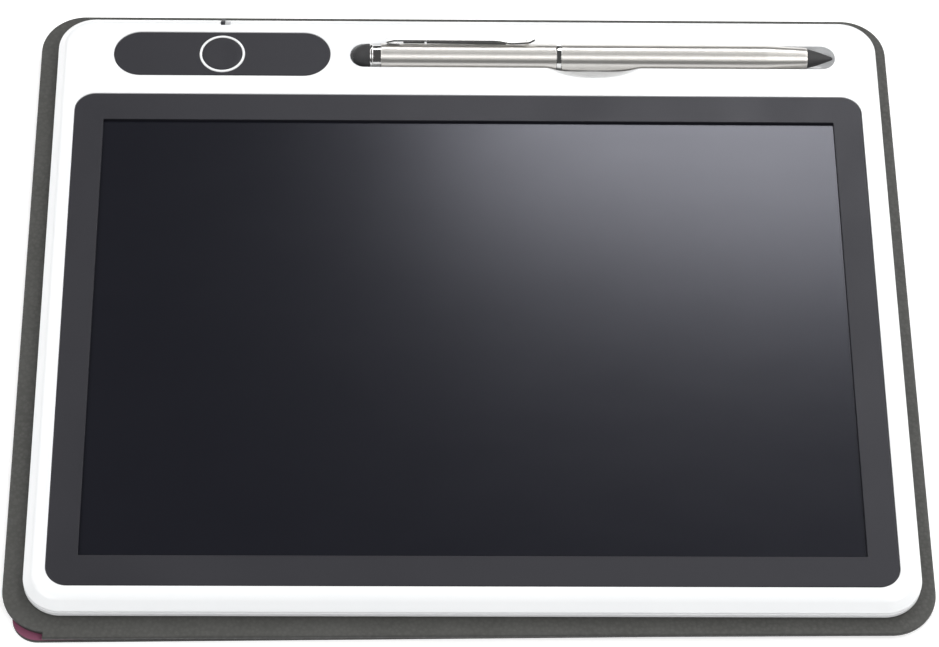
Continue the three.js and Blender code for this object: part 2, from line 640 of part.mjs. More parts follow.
function makeBattery() {
  const cellBottom = REAR_FLOOR_TOP + CELL_CLEARANCE;
  const cellTop = cellBottom + CELL_THICKNESS;
  place('coin_cell', disc(CELL_X, CELL_Y, CELL_RADIUS, cellBottom, cellTop, 36), steel);

  const [slotLength, slotWidth] = COIN_SLOT;
  const door = solid(disc(CELL_X, CELL_Y, DOOR_RADIUS, REAR_BOTTOM + 0.02, DOOR_TOP, 36));
  const coinSlot = solid(block(
    [CELL_X - slotLength / 2, CELL_X + slotLength / 2],
    [CELL_Y - slotWidth / 2, CELL_Y + slotWidth / 2],
    [REAR_BOTTOM - 1, COIN_SLOT_TOP],
  ));
  place('battery_door', geometryOf(door.subtract(coinSlot)), white);

  // each contact is a thin bent leaf that starts on the circuit board
  const leafTop = cellTop + CELL_CLEARANCE;
  const leafBottom = PCB_TOP + SOLDER_GAP;
  const foot = PCB_RIGHT - LEAF_FOOT;
  const plus = new THREE.Shape();
  plus.moveTo(foot, leafBottom);
  plus.lineTo(PCB_RIGHT - 0.3, leafBottom);
  plus.lineTo(PCB_RIGHT, leafTop);
  plus.lineTo(CELL_X + LEAF_REACH, leafTop);
  plus.lineTo(CELL_X + LEAF_REACH, leafTop + LEAF_THICKNESS);
  plus.lineTo(PCB_RIGHT - 0.2, leafTop + LEAF_THICKNESS);
  plus.lineTo(PCB_RIGHT - 0.5, leafBottom + LEAF_THICKNESS);
  plus.lineTo(foot, leafBottom + LEAF_THICKNESS);
  plus.closePath();
  const plusLeaf = new THREE.ExtrudeGeometry(plus, { depth: TOP_LEAF_WIDTH, bevelEnabled: false });
  plusLeaf.rotateX(Math.PI / 2).translate(0, CELL_Y + TOP_LEAF_WIDTH / 2, 0);
  place('battery_contact_top', plusLeaf, copper);

  const side = new THREE.Shape();
  side.moveTo(foot, leafBottom);
  side.lineTo(PCB_RIGHT + LEAF_THICKNESS, leafBottom);
  side.lineTo(PCB_RIGHT + LEAF_THICKNESS, cellBottom + FIT);
  side.lineTo(PCB_RIGHT + 2 * LEAF_THICKNESS, cellBottom + FIT);
  side.lineTo(PCB_RIGHT + 2 * LEAF_THICKNESS, leafBottom + LEAF_THICKNESS);
  side.lineTo(foot, leafBottom + LEAF_THICKNESS);
  side.closePath();
  const sideLeaf = new THREE.ExtrudeGeometry(side, { depth: SIDE_LEAF_WIDTH, bevelEnabled: false });
  sideLeaf.rotateX(Math.PI / 2).translate(0, CELL_Y - SIDE_LEAF_BACK, 0);
  place('battery_contact_side', sideLeaf, copper);
}

// ---- stylus -------------------------------------------------------------------------------

function makeStylus() {
  const stylus = new THREE.Group();
  stylus.position.set(0, PEN_Y, PEN_Z);
  tablet.add(stylus);

  const domeLength = DOME_END - DOME_START;
  const domePoints = [];
  const steps = 7;
  for (let i = 0; i <= steps; i += 1) {
    const angle = (i / steps) * (Math.PI / 2);
    domePoints.push([DOME_START + domeLength * (1 - Math.cos(angle)), DOME_RADIUS * Math.sin(angle)]);
  }
  domePoints.push([DOME_END, PIN_RADIUS], [DOME_END + 2.4, PIN_RADIUS], [DOME_END + 2.4, 0]);
  place('stylus_dome', turned(domePoints), rubber, stylus);

  const collar = DOME_END + 0.05;
  place('stylus_collar', turned([
    [collar, 1.8],
    [collar, COLLAR_RADIUS + 0.1],
    [collar + 0.7, COLLAR_RADIUS + 0.1],
    [collar + 0.9, COLLAR_RADIUS - 0.15],
    [COLLAR_END - 0.05, COLLAR_RADIUS - 0.15],
    [COLLAR_END - 0.05, 1.8],
    [collar, 1.8],
  ]), chrome, stylus);

  place('stylus_front_barrel', turned([
    [COLLAR_END, PEN_BORE],
    [COLLAR_END, PEN_RADIUS - 0.15],
    [COLLAR_END + 0.3, PEN_RADIUS],
    [MID_RING_START - 0.25, PEN_RADIUS],
    [MID_RING_START - 0.05, PEN_RADIUS - 0.1],
    [MID_RING_START - 0.05, PEN_BORE],
    [COLLAR_END, PEN_BORE],
  ]), steel, stylus);

  place('stylus_mid_ring', turned([
    [MID_RING_START, PEN_BORE],
    [MID_RING_START, PEN_RADIUS - 0.15],
    [MID_RING_END, PEN_RADIUS - 0.15],
    [MID_RING_END, PEN_BORE],
    [MID_RING_START, PEN_BORE],
  ]), chrome, stylus);

  place('stylus_coupler', turned([
    [MID_RING_START - 7, 0],
    [MID_RING_START - 7, PEN_BORE - 0.15],
    [MID_RING_END + 7, PEN_BORE - 0.15],
    [MID_RING_END + 7, 0],
  ]), blackPlastic, stylus);

  place('stylus_rear_barrel', turned([
    [MID_RING_END + 0.05, PEN_BORE],
    [MID_RING_END + 0.05, PEN_RADIUS - 0.1],
    [MID_RING_END + 0.25, PEN_RADIUS],
    [TAPER_START, PEN_RADIUS],
    [TAPER_START + 0.4 * (TAPER_END - TAPER_START), PEN_RADIUS - 0.25],
    [TAPER_END, TIP_BASE_RADIUS + 0.1],
    [TAPER_END, PIN_RADIUS],
    [TAPER_START - 2, PIN_RADIUS],
    [TAPER_START - 4, PEN_BORE],
    [MID_RING_END + 0.05, PEN_BORE],
  ]), steel, stylus);

  place('stylus_tip', turned([
    [TAPER_END - 5, 0],
    [TAPER_END - 5, TIP_PIN_RADIUS],
    [TAPER_END + 0.1, TIP_PIN_RADIUS],
    [TAPER_END + 0.1, TIP_BASE_RADIUS],
    [TAPER_END + 3.4, 1.85],
    [TIP_END - 0.6, 0.6],
    [TIP_END - 0.15, 0.35],
    [TIP_END, 0],
  ]), rubber, stylus);

  makeClip(stylus);
}

// a profile drawn in x and distance from the stylus axis, given a width across the clip
function clipStrip(points, from = -CLIP_WIDTH / 2, to = CLIP_WIDTH / 2) {
  const shape = new THREE.Shape();
  points.forEach(([x, y], index) => (index ? shape.lineTo(x, y) : shape.moveTo(x, y)));
  shape.closePath();
  const geometry = new THREE.ExtrudeGeometry(shape, { depth: to - from, bevelEnabled: false });
  return geometry.translate(0, 0, from);
}

function makeClip(stylus) {
  // local Y points away from the barrel: out along +Y and up
  const clip = new THREE.Group();
  clip.rotation.x = CLIP_LEAN;
  stylus.add(clip);

  place('clip_root', clipStrip([
    [CLIP_START, CLIP_SEAT],
    [CLIP_ROOT_END, CLIP_SEAT],
    [CLIP_ROOT_END, CLIP_INNER - 0.2],
    [CLIP_BEND + 0.2, CLIP_INNER - 0.2],
    [CLIP_START + 0.6, CLIP_SEAT + 0.25],
  ]), chrome, clip);

  const low = CLIP_SEAT + 0.25;
  const thickness = CLIP_OUTER - CLIP_INNER;
  let strip = solid(clipStrip([
    [CLIP_START + 0.45, CLIP_SEAT + 0.5],
    [CLIP_BEND + 0.1, CLIP_INNER],
    [CLIP_TOUCH - 4.5, CLIP_INNER],
    [CLIP_TOUCH, low],
    [CLIP_END - 1.4, low + 0.55],
    [CLIP_END, low + 1.3],
    [CLIP_END - 0.4, low + 1.7],
    [CLIP_END - 1.7, low + 0.55 + thickness],
    [CLIP_TOUCH + 0.1, low + thickness],
    [CLIP_TOUCH - 4.2, CLIP_OUTER],
    [CLIP_BEND - 0.1, CLIP_OUTER],
    [CLIP_START + 0.1, CLIP_SEAT + 0.9],
  ]));
  const joined = CLIP_INNER + 0.1;
  const flanges = [
    [
      [FLANGE_START, FLANGE_BOTTOM],
      [FLANGE_SPLIT[0], FLANGE_BOTTOM],
      [FLANGE_SPLIT[0], joined],
      [FLANGE_START, joined],
    ],
    [
      [FLANGE_SPLIT[1], FLANGE_BOTTOM],
      [FLANGE_END, FLANGE_BOTTOM - 0.2],
      [FLANGE_END, joined - 0.65],
      [CLIP_TOUCH - 5, joined],
      [FLANGE_SPLIT[1], joined],
    ],
  ];
  const half = CLIP_WIDTH / 2;
  for (const flange of flanges) {
    strip = strip.add(solid(clipStrip(flange, half - FLANGE_THICKNESS, half)));
    strip = strip.add(solid(clipStrip(flange, -half, FLANGE_THICKNESS - half)));
  }
  const ball = new THREE.SphereGeometry(CLIP_BALL_RADIUS, 12, 8);
  ball.translate(CLIP_END - 2.1, low + 0.45, 0);
  place('stylus_clip', geometryOf(strip.add(solid(ball))), chrome, clip);
}

// ---- assembly -----------------------------------------------------------------------------

makeBase();
makeRearShell();
makeFrontShell();
makeScrews();
makeScreen();
makeControls();
makeStylus();

// stand the assembly on the middle of its footprint
tablet.updateMatrixWorld(true);
const bounds = new THREE.Box3().setFromObject(tablet, true);
const middle = bounds.getCenter(new THREE.Vector3());
tablet.position.set(-middle.x, -middle.y, -bounds.min.z);

export default tablet;
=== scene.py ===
"""A studio view of the writing tablet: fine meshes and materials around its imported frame."""

import json
import math

import bmesh
import bpy
from mathutils import Matrix, Vector


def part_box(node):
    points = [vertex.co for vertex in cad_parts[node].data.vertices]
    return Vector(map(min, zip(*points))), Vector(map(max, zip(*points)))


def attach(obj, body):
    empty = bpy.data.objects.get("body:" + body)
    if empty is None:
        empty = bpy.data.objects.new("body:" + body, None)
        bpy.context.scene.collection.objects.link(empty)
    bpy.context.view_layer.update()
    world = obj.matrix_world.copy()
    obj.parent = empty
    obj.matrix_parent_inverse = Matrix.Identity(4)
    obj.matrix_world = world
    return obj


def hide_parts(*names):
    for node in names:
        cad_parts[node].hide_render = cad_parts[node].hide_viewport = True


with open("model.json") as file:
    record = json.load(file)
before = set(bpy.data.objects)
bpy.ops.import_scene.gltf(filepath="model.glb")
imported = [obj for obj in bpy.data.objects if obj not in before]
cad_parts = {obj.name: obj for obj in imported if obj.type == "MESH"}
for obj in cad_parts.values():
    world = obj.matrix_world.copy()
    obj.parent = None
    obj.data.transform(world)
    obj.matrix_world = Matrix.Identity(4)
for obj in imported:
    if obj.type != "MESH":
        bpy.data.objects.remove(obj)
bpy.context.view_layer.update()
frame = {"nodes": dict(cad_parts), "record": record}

MM = 0.001  # the meshes are drawn in millimetres and brought to metres at the end

# ---- driving sizes in millimetres; places and outer sizes come from the frame --------------

HOUSING_CORNER = 10.4
SLOPE_RUN = 2.75  # the sloped edge round the face
SLOPE_DROP = 3.0
SLOPE_TOP_ROUND = 3.0
SLOPE_FOOT_ROUND = 0.7
FACE_MARGIN = 3.0  # flat strip of the face next to the slope
SHELL_EDGE_ROUND = 0.3
SHELL_EDGE_INSET = 1.5  # how far in the profile of each shell starts
WALL = 3.2
REAR_WALL = 1.8
REAR_FLOOR = 1.0
REAR_LIP = 1.75  # height of the rear shell's side
PARTING = 0.1
FACE_ABOVE_PANELS = 0.05
RECESS_DEPTH = 0.9
CEILING_DEPTH = 1.6
RECESS_FIT = 0.15
MOUTH_ROUND = 0.18  # rounding of the recess edges
MOUTH_ARC = 84  # degrees; the rounding stops just short of flat
JOIN_LAP = 0.2  # how far joined bodies run into each other

BEZEL_CORNER = 5.8
BEZEL_WINDOW_CORNER = 0.25
FILM_LAP = 1.8  # how far the bezel covers the film
FILM_GAP = 0.2
FILM_WINDOW_CORNER = 0.3
PLATE_ROUND = 0.22
PLATE_HOLE_ROUND = 0.15

BASE_CORNER = 12.5
BASE_TAPER_LEFT = 0.35  # how much narrower the board is at the back, on each side
BASE_TAPER_RIGHT = 0.65
TRIM_ARC = 13.0  # radius of the trimmed front left corner
TRIM_END = 11.3  # how far right of the board's left side the trimmed arc ends
TRIM_STEP = 1.7
BOARD_FRONT_RISE = 1.9  # how far each front edge runs back from its left corner to its right corner
SOLE_FRONT_RISE = 3.05
LINING_FRONT_RISE = 4.75
UNDERLAY_CORNER = 10.0
UNDERLAY_FRONT_LEFT_CORNER = 7.0
BOARD_ROUND = 0.6
BOARD_FOOT_ROUND = 0.4
BOARD_EDGE_INSET = 1.5
LINING_ROUND = 0.12
SOLE_ROUND = 0.2
WINDOW_RADIUS = 11.7  # the opening in the base below the battery door

TROUGH_LEFT = 2.6  # the block that holds the groove reaches this far past the stylus's two ends
TROUGH_RIGHT = 2.2
TROUGH_FRONT = 9.4  # and this far from its axis, in front and behind
TROUGH_BACK = 6.0
POCKET_GAP = 0.4  # the rear shell's pocket is this much larger on each side
POCKET_FLOOR = 0.55
GROOVE_RADIUS = 4.12
GROOVE_END_ROOM = 0.6  # the groove is this much longer than the stylus at each end
SCOOP_AHEAD = 36.2  # how far right of the screen's middle
SCOOP_HALF = (14.2, 5.5, 3.5)  # half length, half width and depth
SCOOP_OFF_AXIS = 2.3  # how far in front of the stylus axis
SCOOP_FLARE = 0.35
SCOOP_RIM = 0.02

BOSS_RADIUS = 2.4
SCREW_HOLE = 1.15
SCREW_HOLE_INTO_FACE = 0.8
HEAD_RECESS = 1.9
HEAD_RECESS_DEPTH = 1.3
DOOR_RADIUS = 11.4
DOOR_DEPTH = 0.65
CELL_OPENING = 10.35
SLOT_LEFT = 0.7  # the lock slider's slot, from the middle of its rib
SLOT_RIGHT = 2.2
SLOT_DEPTH = 2.2
SLOT_GAP = 0.3
SLOT_PAST_BACK = 4.0
SLOT_ROUND = 0.12
SLOT_CORNER = 0.3
RIB_LENGTH = 3.4

BUTTON_FIT = 0.5
RING_INNER = 5.86
RING_FIT = 0.1
CAP_GAP = 0.14  # between the button and its ring
CAP_FOOT = 0.5  # how far the stem reaches below the cap
CAP_STEM = 1.35
CAP_DISH = 0.12

PEN_WALL = 0.65
DOME_SEAM = 0.05
DOME_PLUG = 1.6
COLLAR_BORE = 1.8
COLLAR_HEAD = 0.75  # length of the wide part of the collar
COLLAR_STEP = 0.22
PEN_TAPER = 12.0  # length over which the rear barrel narrows to the tip
NOSE_BORE = 1.6
NOSE_BORE_LENGTH = 14.0
TIP_SEAM = 0.1
TIP_PLUG = 1.45
TIP_BELLY = (3.4, 1.85)  # along the tip and out from its axis
TIP_POINT = 0.42

CLIP_LEAN = math.radians(54)
CLIP_WIDTH = 3.0
CLIP_LENGTH = 43.6
CLIP_OUTER = 5.4  # heights on the clip are from the stylus axis
CLIP_INNER = 4.9
CLIP_BEND = 2.6  # how far along the strip its bend to the root is
CLIP_ROOT_LENGTH = 4.2
CLIP_ROOT_NOSE = 0.3  # height of the root at its two ends
CLIP_ROOT_HEIGHT = 0.42
CLIP_TOUCH = 7.0  # how far before its end the strip comes down to the barrel
CLIP_TOUCH_GAP = 0.25  # how far above the root's seat the strip stays there
CLIP_SEAT_GAP = 0.12
CLIP_EDGE_ROUND = 0.08
CLIP_BALL_RADIUS = 0.7
CLIP_BALL_BACK = 2.4  # how far before the end the ball sits
FLANGE_BOTTOM = 4.35
FLANGE_THICKNESS = 0.4
FLANGE_START = 5.2
FLANGE_SPLIT = (11.4, 12.0)
FLANGE_LAP = 0.1  # how far the flanges run into the strip
FLANGE_INSET = 0.02

CORNER_STEPS = 24
ROUND_STEPS = 6
BEND_STEPS = 10
TURN_STEPS = 96
BOWL_STEPS = 20
HOLE_STEPS = 24
BOSS_STEPS = 32
SMALL_CORNER_STEPS = 4
DOME_STEPS = 24

WELD = 0.002  # points closer than this become one
SLIVER = 0.001  # edges shorter than this are dissolved
LEVEL = 0.9999  # a face counts as level above this vertical share of its normal
FLAT_FACE_AREA = 20  # level faces above this area are shaded flat
SHARP_ANGLE = math.radians(34)


class Box:
    """A CAD node's box at rest, in millimetres."""

    def __init__(self, node):
        low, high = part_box(node)
        self.left, self.front, self.bottom = (value / MM for value in low)
        self.right, self.back, self.top = (value / MM for value in high)
        self.x = (self.left + self.right) / 2
        self.y = (self.front + self.back) / 2
        self.z = (self.bottom + self.top) / 2
        self.half_width = (self.right - self.left) / 2
        self.half_depth = (self.back - self.front) / 2
        self.half_height = (self.top - self.bottom) / 2


housing = Box("front_shell")
rear = Box("rear_shell")
bezel = Box("screen_bezel")
film = Box("lcd_film")
panel = Box("button_panel")
ring = Box("button_ring")
button = Box("erase_button")
board = Box("base_board")
lining = Box("base_lining")
sole = Box("base_sole")
cell = Box("coin_cell")
rib = Box("lock_slider")
dome = Box("stylus_dome")
collar = Box("stylus_collar")
front_barrel = Box("stylus_front_barrel")
mid_ring = Box("stylus_mid_ring")
rear_barrel = Box("stylus_rear_barrel")
tip = Box("stylus_tip")
clip_root = Box("clip_root")
screws = [Box(name) for name in sorted(frame["nodes"]) if name.startswith("shell_screw_")]

# Painted shade: the leather's side wall is darkened between these heights.
SIDE_SHADE_BOTTOM = board.top - 0.4
SIDE_SHADE_TOP = board.top - 0.12
FACE = bezel.top + FACE_ABOVE_PANELS
SCREEN = Vector((bezel.x, bezel.y, FACE))
REAR_TOP = rear.bottom + REAR_LIP
CEILING = FACE - CEILING_DEPTH
RECESS_FLOOR = FACE - RECESS_DEPTH
ABOVE = FACE + 5
BELOW = rear.bottom - 5
RING_RADIUS = ring.half_width
PEN_RADIUS = front_barrel.half_height
PEN_BORE = PEN_RADIUS - PEN_WALL
TIP_RADIUS = tip.half_height
CLIP_START = clip_root.left - SCREEN.x
CLIP_END = CLIP_START + CLIP_LENGTH
CLIP_HALF = CLIP_WIDTH / 2
CLIP_SEAT = PEN_RADIUS + CLIP_SEAT_GAP


# ---- outlines and paths --------------------------------------------------------------------


def arc(x, y, radius, start, end, steps):
    """Points on an arc, in degrees, both ends included."""
    angles = [math.radians(start + (end - start) * i / steps) for i in range(steps + 1)]
    return [Vector((x + radius * math.cos(a), y + radius * math.sin(a))) for a in angles]


def rectangle(left, right, front, back, radius, steps=CORNER_STEPS):
    """A rectangle with round corners, counter-clockwise."""
    return (
        arc(right - radius, front + radius, radius, -90, 0, steps)
        + arc(right - radius, back - radius, radius, 0, 90, steps)
        + arc(left + radius, back - radius, radius, 90, 180, steps)
        + arc(left + radius, front + radius, radius, 180, 270, steps)
    )


def around(box, margin, radius, steps=CORNER_STEPS):
    """A rectangle with round corners at a margin outside a box; a negative margin is inside it."""
    sides = (box.left - margin, box.right + margin, box.front - margin, box.back + margin)
    return rectangle(*sides, radius, steps)


def stadium(left, right, y, radius):
    """A long outline with half-round ends, counter-clockwise."""
    right_end = arc(right - radius, y, radius, -90, 90, 2 * CORNER_STEPS)
    left_end = arc(left + radius, y, radius, 90, 270, 2 * CORNER_STEPS)
    return right_end + left_end


def circle(x, y, radius, steps=TURN_STEPS):
    return arc(x, y, radius, 0, 360, steps)[:-1]


def offset(outline, distance):
    """The outline moved inwards along the mitre at each point."""
    moved = []
    for before, here, after in zip(outline[-1:] + outline[:-1], outline, outline[1:] + outline[:1]):
        first = (here - before).normalized()
        second = (after - here).normalized()
        inward_first = Vector((-first.y, first.x))
        inward_second = Vector((-second.y, second.x))
        mitre = (inward_first + inward_second) / (1 + inward_first.dot(inward_second))
        moved.append(here + mitre * distance)
    return moved


def rounded(corners, closed=False, steps=ROUND_STEPS):
    """A path through (x, y, radius) corners, each turned into an arc. An open path keeps its two ends."""
    path = []
    for i, (x, y, radius) in enumerate(corners):
        here = Vector((x, y))
        at_end = not closed and i in (0, len(corners) - 1)
        if radius == 0 or at_end:
            path.append(here)
            continue
        to_last = (Vector(corners[i - 1][:2]) - here).normalized()
        to_next = (Vector(corners[(i + 1) % len(corners)][:2]) - here).normalized()
        half = to_last.angle(to_next) / 2
        centre = here + (to_last + to_next).normalized() * radius / math.sin(half)
        start = here + to_last * radius / math.tan(half) - centre
        end = here + to_next * radius / math.tan(half) - centre
        for k in range(steps + 1):
            path.append(centre + start.lerp(end, k / steps).normalized() * radius)
    return path


# ---- meshes --------------------------------------------------------------------------------


def skin(rings, closed=False):
    """A closed body over rings of points. A ring of one point is a pole."""
    bm = bmesh.new()
    rows = [[bm.verts.new(point) for point in row] for row in rings]
    pairs = list(zip(rows, rows[1:]))
    if closed:
        pairs.append((rows[-1], rows[0]))
    for low, high in pairs:
        count = max(len(low), len(high))
        for i in range(count):
            j = (i + 1) % count
            if len(low) == 1:
                bm.faces.new((low[0], high[j], high[i]))
            elif len(high) == 1:
                bm.faces.new((low[i], low[j], high[0]))
            else:
                bm.faces.new((low[i], low[j], high[j], high[i]))
    if not closed:
        if len(rows[0]) > 1:
            bm.faces.new(reversed(rows[0]))
        if len(rows[-1]) > 1:
            bm.faces.new(rows[-1])
    bmesh.ops.recalc_face_normals(bm, faces=bm.faces)
    return bm


def loft(outline, profile):
    """A body whose outline is moved inwards by each (inset, height) of the profile in turn."""
    return skin([[Vector((p.x, p.y, z)) for p in offset(outline, inset)] for inset, z in profile])


def prism(outline, bottom, top):
    return loft(outline, [(0, bottom), (0, top)])


def plate(outline, bottom, top, top_round, bottom_round=0.1, inset=2.0):
    """A flat plate with rounded edges; its profile starts and ends at the inset."""
    profile = [(inset, bottom, 0), (0, bottom, bottom_round), (0, top, top_round), (inset, top, 0)]
    return loft(outline, rounded(profile))


def rim(radius, level):
    """The (outward, height) points along which a recess edge rounds over into the surface at that level."""
    points = []
    for i in range(ROUND_STEPS + 1):
        angle = math.radians(MOUTH_ARC * i / ROUND_STEPS)
        points.append((radius * (1 - math.cos(angle)), level - radius + radius * math.sin(angle)))
    return points


def mouth(outline, floor, level, radius=MOUTH_ROUND):
    """A cutter for a recess whose edge rounds over into the surface at that level."""
    profile = [(0, floor)] + [(-outward, z) for outward, z in rim(radius, level)]
    profile.append((profile[-1][0], ABOVE))
    return loft(outline, profile)


def turned(points, place, closed=False):
    """A turned body: (height, radius) points about the local Z axis, put in place by a matrix."""
    rings = []
    for height, radius in points:
        if radius < 1e-6:
            rings.append([place @ Vector((0, 0, height))])
        else:
            rings.append([place @ Vector((p.x, p.y, height)) for p in circle(0, 0, radius)])
    return skin(rings, closed)


def bars(places, radius, bottom, top, steps=TURN_STEPS):
    """An upright round bar at each place."""
    return [prism(circle(place.x, place.y, radius, steps), bottom, top) for place in places]


def groove_block(gap, bottom, top):
    """The block that holds the groove and the scoop, larger by a gap on its four sides."""
    left = dome.left - (TROUGH_LEFT + gap)
    right = tip.right + (TROUGH_RIGHT + gap)
    front = dome.y - (TROUGH_FRONT + gap)
    back = dome.y + (TROUGH_BACK + gap)
    corners = ((left, front), (right, front), (right, back), (left, back))
    return prism([Vector(corner) for corner in corners], bottom, top)


def to_object(name, bm):
    """Makes the mesh an object and links it into the scene."""
    mesh = bpy.data.meshes.new(name)
    bm.to_mesh(mesh)
    bm.free()
    thing = bpy.data.objects.new(name, mesh)
    bpy.context.scene.collection.objects.link(thing)
    return thing


def combine(thing, bodies, operation):
    """Joins bodies to a thing or cuts them from it, one after the other."""
    for bm in bodies:
        tool = to_object("tool", bm)
        modifier = thing.modifiers.new(operation, "BOOLEAN")
        modifier.object = tool
        modifier.operation = operation
        modifier.solver = "EXACT"
        bpy.context.view_layer.update()
        graph = bpy.context.evaluated_depsgraph_get()
        result = bpy.data.meshes.new_from_object(thing.evaluated_get(graph))
        thing.modifiers.clear()
        thing.data = result
        bpy.data.objects.remove(tool)


def finished(thing, body, slot, nodes):
    """Cleans a mesh, brings it to metres, smooths it, gives it its material, hangs it on its body and hides
    the CAD nodes it stands for.
    """
    bm = bmesh.new()
    bm.from_mesh(thing.data)
    bmesh.ops.remove_doubles(bm, verts=bm.verts, dist=WELD)
    bmesh.ops.dissolve_degenerate(bm, edges=bm.edges, dist=SLIVER)
    bmesh.ops.scale(bm, vec=(MM, MM, MM), verts=bm.verts)
    bm.to_mesh(thing.data)
    bm.free()
    mesh = thing.data
    mesh.shade_smooth()
    for face in mesh.polygons:
        if abs(face.normal.z) > LEVEL and face.area > FLAT_FACE_AREA * MM * MM:
            face.use_smooth = False
    mesh.set_sharp_from_angle(angle=SHARP_ANGLE)
    mesh.materials.clear()
    mesh.materials.append(materials[slot])
    weighted = thing.modifiers.new("even shading", "WEIGHTED_NORMAL")
    weighted.keep_sharp = True
    weighted.weight = 100
    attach(thing, body)
    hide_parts(*nodes)


# ---- materials -----------------------------------------------------------------------------


class Finish:
    """A node material around one Principled shader; lengths inside it are millimetres."""

    def __init__(self, name, color, roughness, **settings):
        self.material = bpy.data.materials.new(name)
        self.material.use_nodes = True
        self.nodes = self.material.node_tree.nodes
        self.links = self.material.node_tree.links
        self.shader = self.nodes["Principled BSDF"]
        self.shader.inputs["Base Color"].default_value = (*color, 1)
        self.shader.inputs["Roughness"].default_value = roughness
        for socket, value in settings.items():
            self.shader.inputs[socket.replace("_", " ")].default_value = value

    def node(self, kind, **inputs):
        """A new node, with plain values or other nodes' outputs given to its inputs."""
        made = self.nodes.new(kind)
        for socket, value in inputs.items():
            target = made.inputs[socket.replace("_", " ")]
            if isinstance(value, bpy.types.NodeSocket):
                self.links.new(value, target)
            else:
                target.default_value = value
        return made

    def place(self, stretch=(1, 1, 1)):
        """Millimetre coordinates that move with the piece; stretch above 1 makes detail finer that way."""
        coordinates = self.nodes.new("ShaderNodeTexCoord").outputs["Object"]
        scale = Vector(stretch) / MM
        return self.node("ShaderNodeMapping", Vector=coordinates, Scale=scale).outputs["Vector"]

    def noise(self, size, detail=2.0, roughness=0.5, stretch=(1, 1, 1)):
        """Noise whose blobs are about size millimetres wide."""
        looks = {"Scale": 1 / size, "Detail": detail, "Roughness": roughness}
        return self.node("ShaderNodeTexNoise", Vector=self.place(stretch), **looks).outputs[0]

    def cells(self, size, feature="F1"):
        """Cells about size millimetres wide, as the distance from their middles or edges."""
        made = self.node("ShaderNodeTexVoronoi", Vector=self.place(), Scale=1 / size)
        made.feature = feature
        return made.outputs["Distance"]

    def span(self, value, low, high, to_low, to_high):
        """The value's range low to high brought to another range, clamped."""
        ends = {"From_Min": low, "From_Max": high, "To_Min": to_low, "To_Max": to_high}
        return self.node("ShaderNodeMapRange", Value=value, **ends).outputs["Result"]

    def mix(self, factor, first, second):
        """A colour between two colours; each is three numbers or a socket."""
        made = self.node("ShaderNodeMix", Factor=factor)
        made.data_type = "RGBA"
        for socket, value in ((made.inputs[6], first), (made.inputs[7], second)):
            if isinstance(value, bpy.types.NodeSocket):
                self.links.new(value, socket)
            else:
                socket.default_value = (*value, 1)
        return made.outputs[2]

    def color(self, socket):
        self.links.new(socket, self.shader.inputs["Base Color"])

    def roughness(self, socket):
        self.links.new(socket, self.shader.inputs["Roughness"])

    def bump(self, *layers):
        """Relief from (height, depth in millimetres) layers."""
        normal = None
        for height, depth in layers:
            made = self.node("ShaderNodeBump", Height=height, Distance=depth * MM, Strength=1.0)
            if normal is not None:
                self.links.new(normal, made.inputs["Normal"])
            normal = made.outputs["Normal"]
        self.links.new(normal, self.shader.inputs["Normal"])


def white_gloss():
    """Glossy white plastic with a faint moulded waviness and light handling marks."""
    finish = Finish("white_gloss", (0.84, 0.85, 0.86), 0.2, IOR=1.5)
    broad = finish.noise(45, 2)
    marks = finish.noise(7, 4, 0.6)
    finish.color(finish.mix(broad, (0.83, 0.845, 0.86), (0.86, 0.865, 0.87)))
    finish.roughness(finish.span(marks, 0.3, 0.75, 0.18, 0.27))
    finish.bump((finish.noise(2.5, 1), 0.004), (finish.noise(0.35, 2), 0.002))
    return finish.material


def dark_satin():
    """Dark satin plastic with a fine spark-eroded grain."""
    finish = Finish("dark_satin", (0.01, 0.01, 0.012), 0.48, IOR=1.49, Specular_Tint=(0.93, 0.93, 1, 1))
    grain = finish.noise(0.35, 3, 0.6)
    broad = finish.noise(30, 2)
    tone = finish.mix(grain, (0.0085, 0.0083, 0.011), (0.014, 0.0137, 0.0175))
    finish.color(finish.mix(finish.span(broad, 0.35, 0.65, 0, 0.35), tone, (0.015, 0.0148, 0.0185)))
    finish.roughness(finish.span(broad, 0.3, 0.7, 0.42, 0.52))
    finish.bump((grain, 0.012))
    return finish.material


def screen_film():
    """The writing film: nearly black blue-grey under a softly matt face."""
    finish = Finish("screen_film", (0.007, 0.0073, 0.011), 0.19, IOR=1.5, Specular_Tint=(0.87, 0.88, 1, 1))
    broad = finish.noise(55, 3)
    smear = finish.noise(9, 3, 0.6, stretch=(0.35, 1, 1))
    finish.color(finish.mix(broad, (0.0066, 0.0069, 0.0102), (0.0078, 0.0081, 0.0118)))
    finish.roughness(finish.span(smear, 0.3, 0.7, 0.187, 0.199))
    finish.bump((finish.noise(0.12, 2), 0.0015))
    return finish.material


def rubber():
    """Soft black rubber with a bloom of fine dust."""
    finish = Finish("rubber", (0.028, 0.028, 0.03), 0.6)
    speck = finish.noise(0.25, 3, 0.7)
    dust = finish.span(speck, 0.45, 0.75, 0, 1)
    finish.color(finish.mix(dust, (0.022, 0.022, 0.024), (0.05, 0.05, 0.051)))
    finish.roughness(finish.span(speck, 0.3, 0.7, 0.5, 0.72))
    finish.bump((speck, 0.015))
    return finish.material


def chrome():
    """Polished plating with hairlines."""
    finish = Finish("chrome", (0.86, 0.86, 0.85), 0.08, Metallic=1.0)
    hair = finish.noise(0.2, 2, 0.6, stretch=(0.1, 1, 1))
    finish.color(finish.mix(finish.noise(3, 2), (0.84, 0.84, 0.83), (0.89, 0.885, 0.875)))
    finish.roughness(finish.span(hair, 0.3, 0.75, 0.05, 0.14))
    finish.bump((hair, 0.0006))
    return finish.material


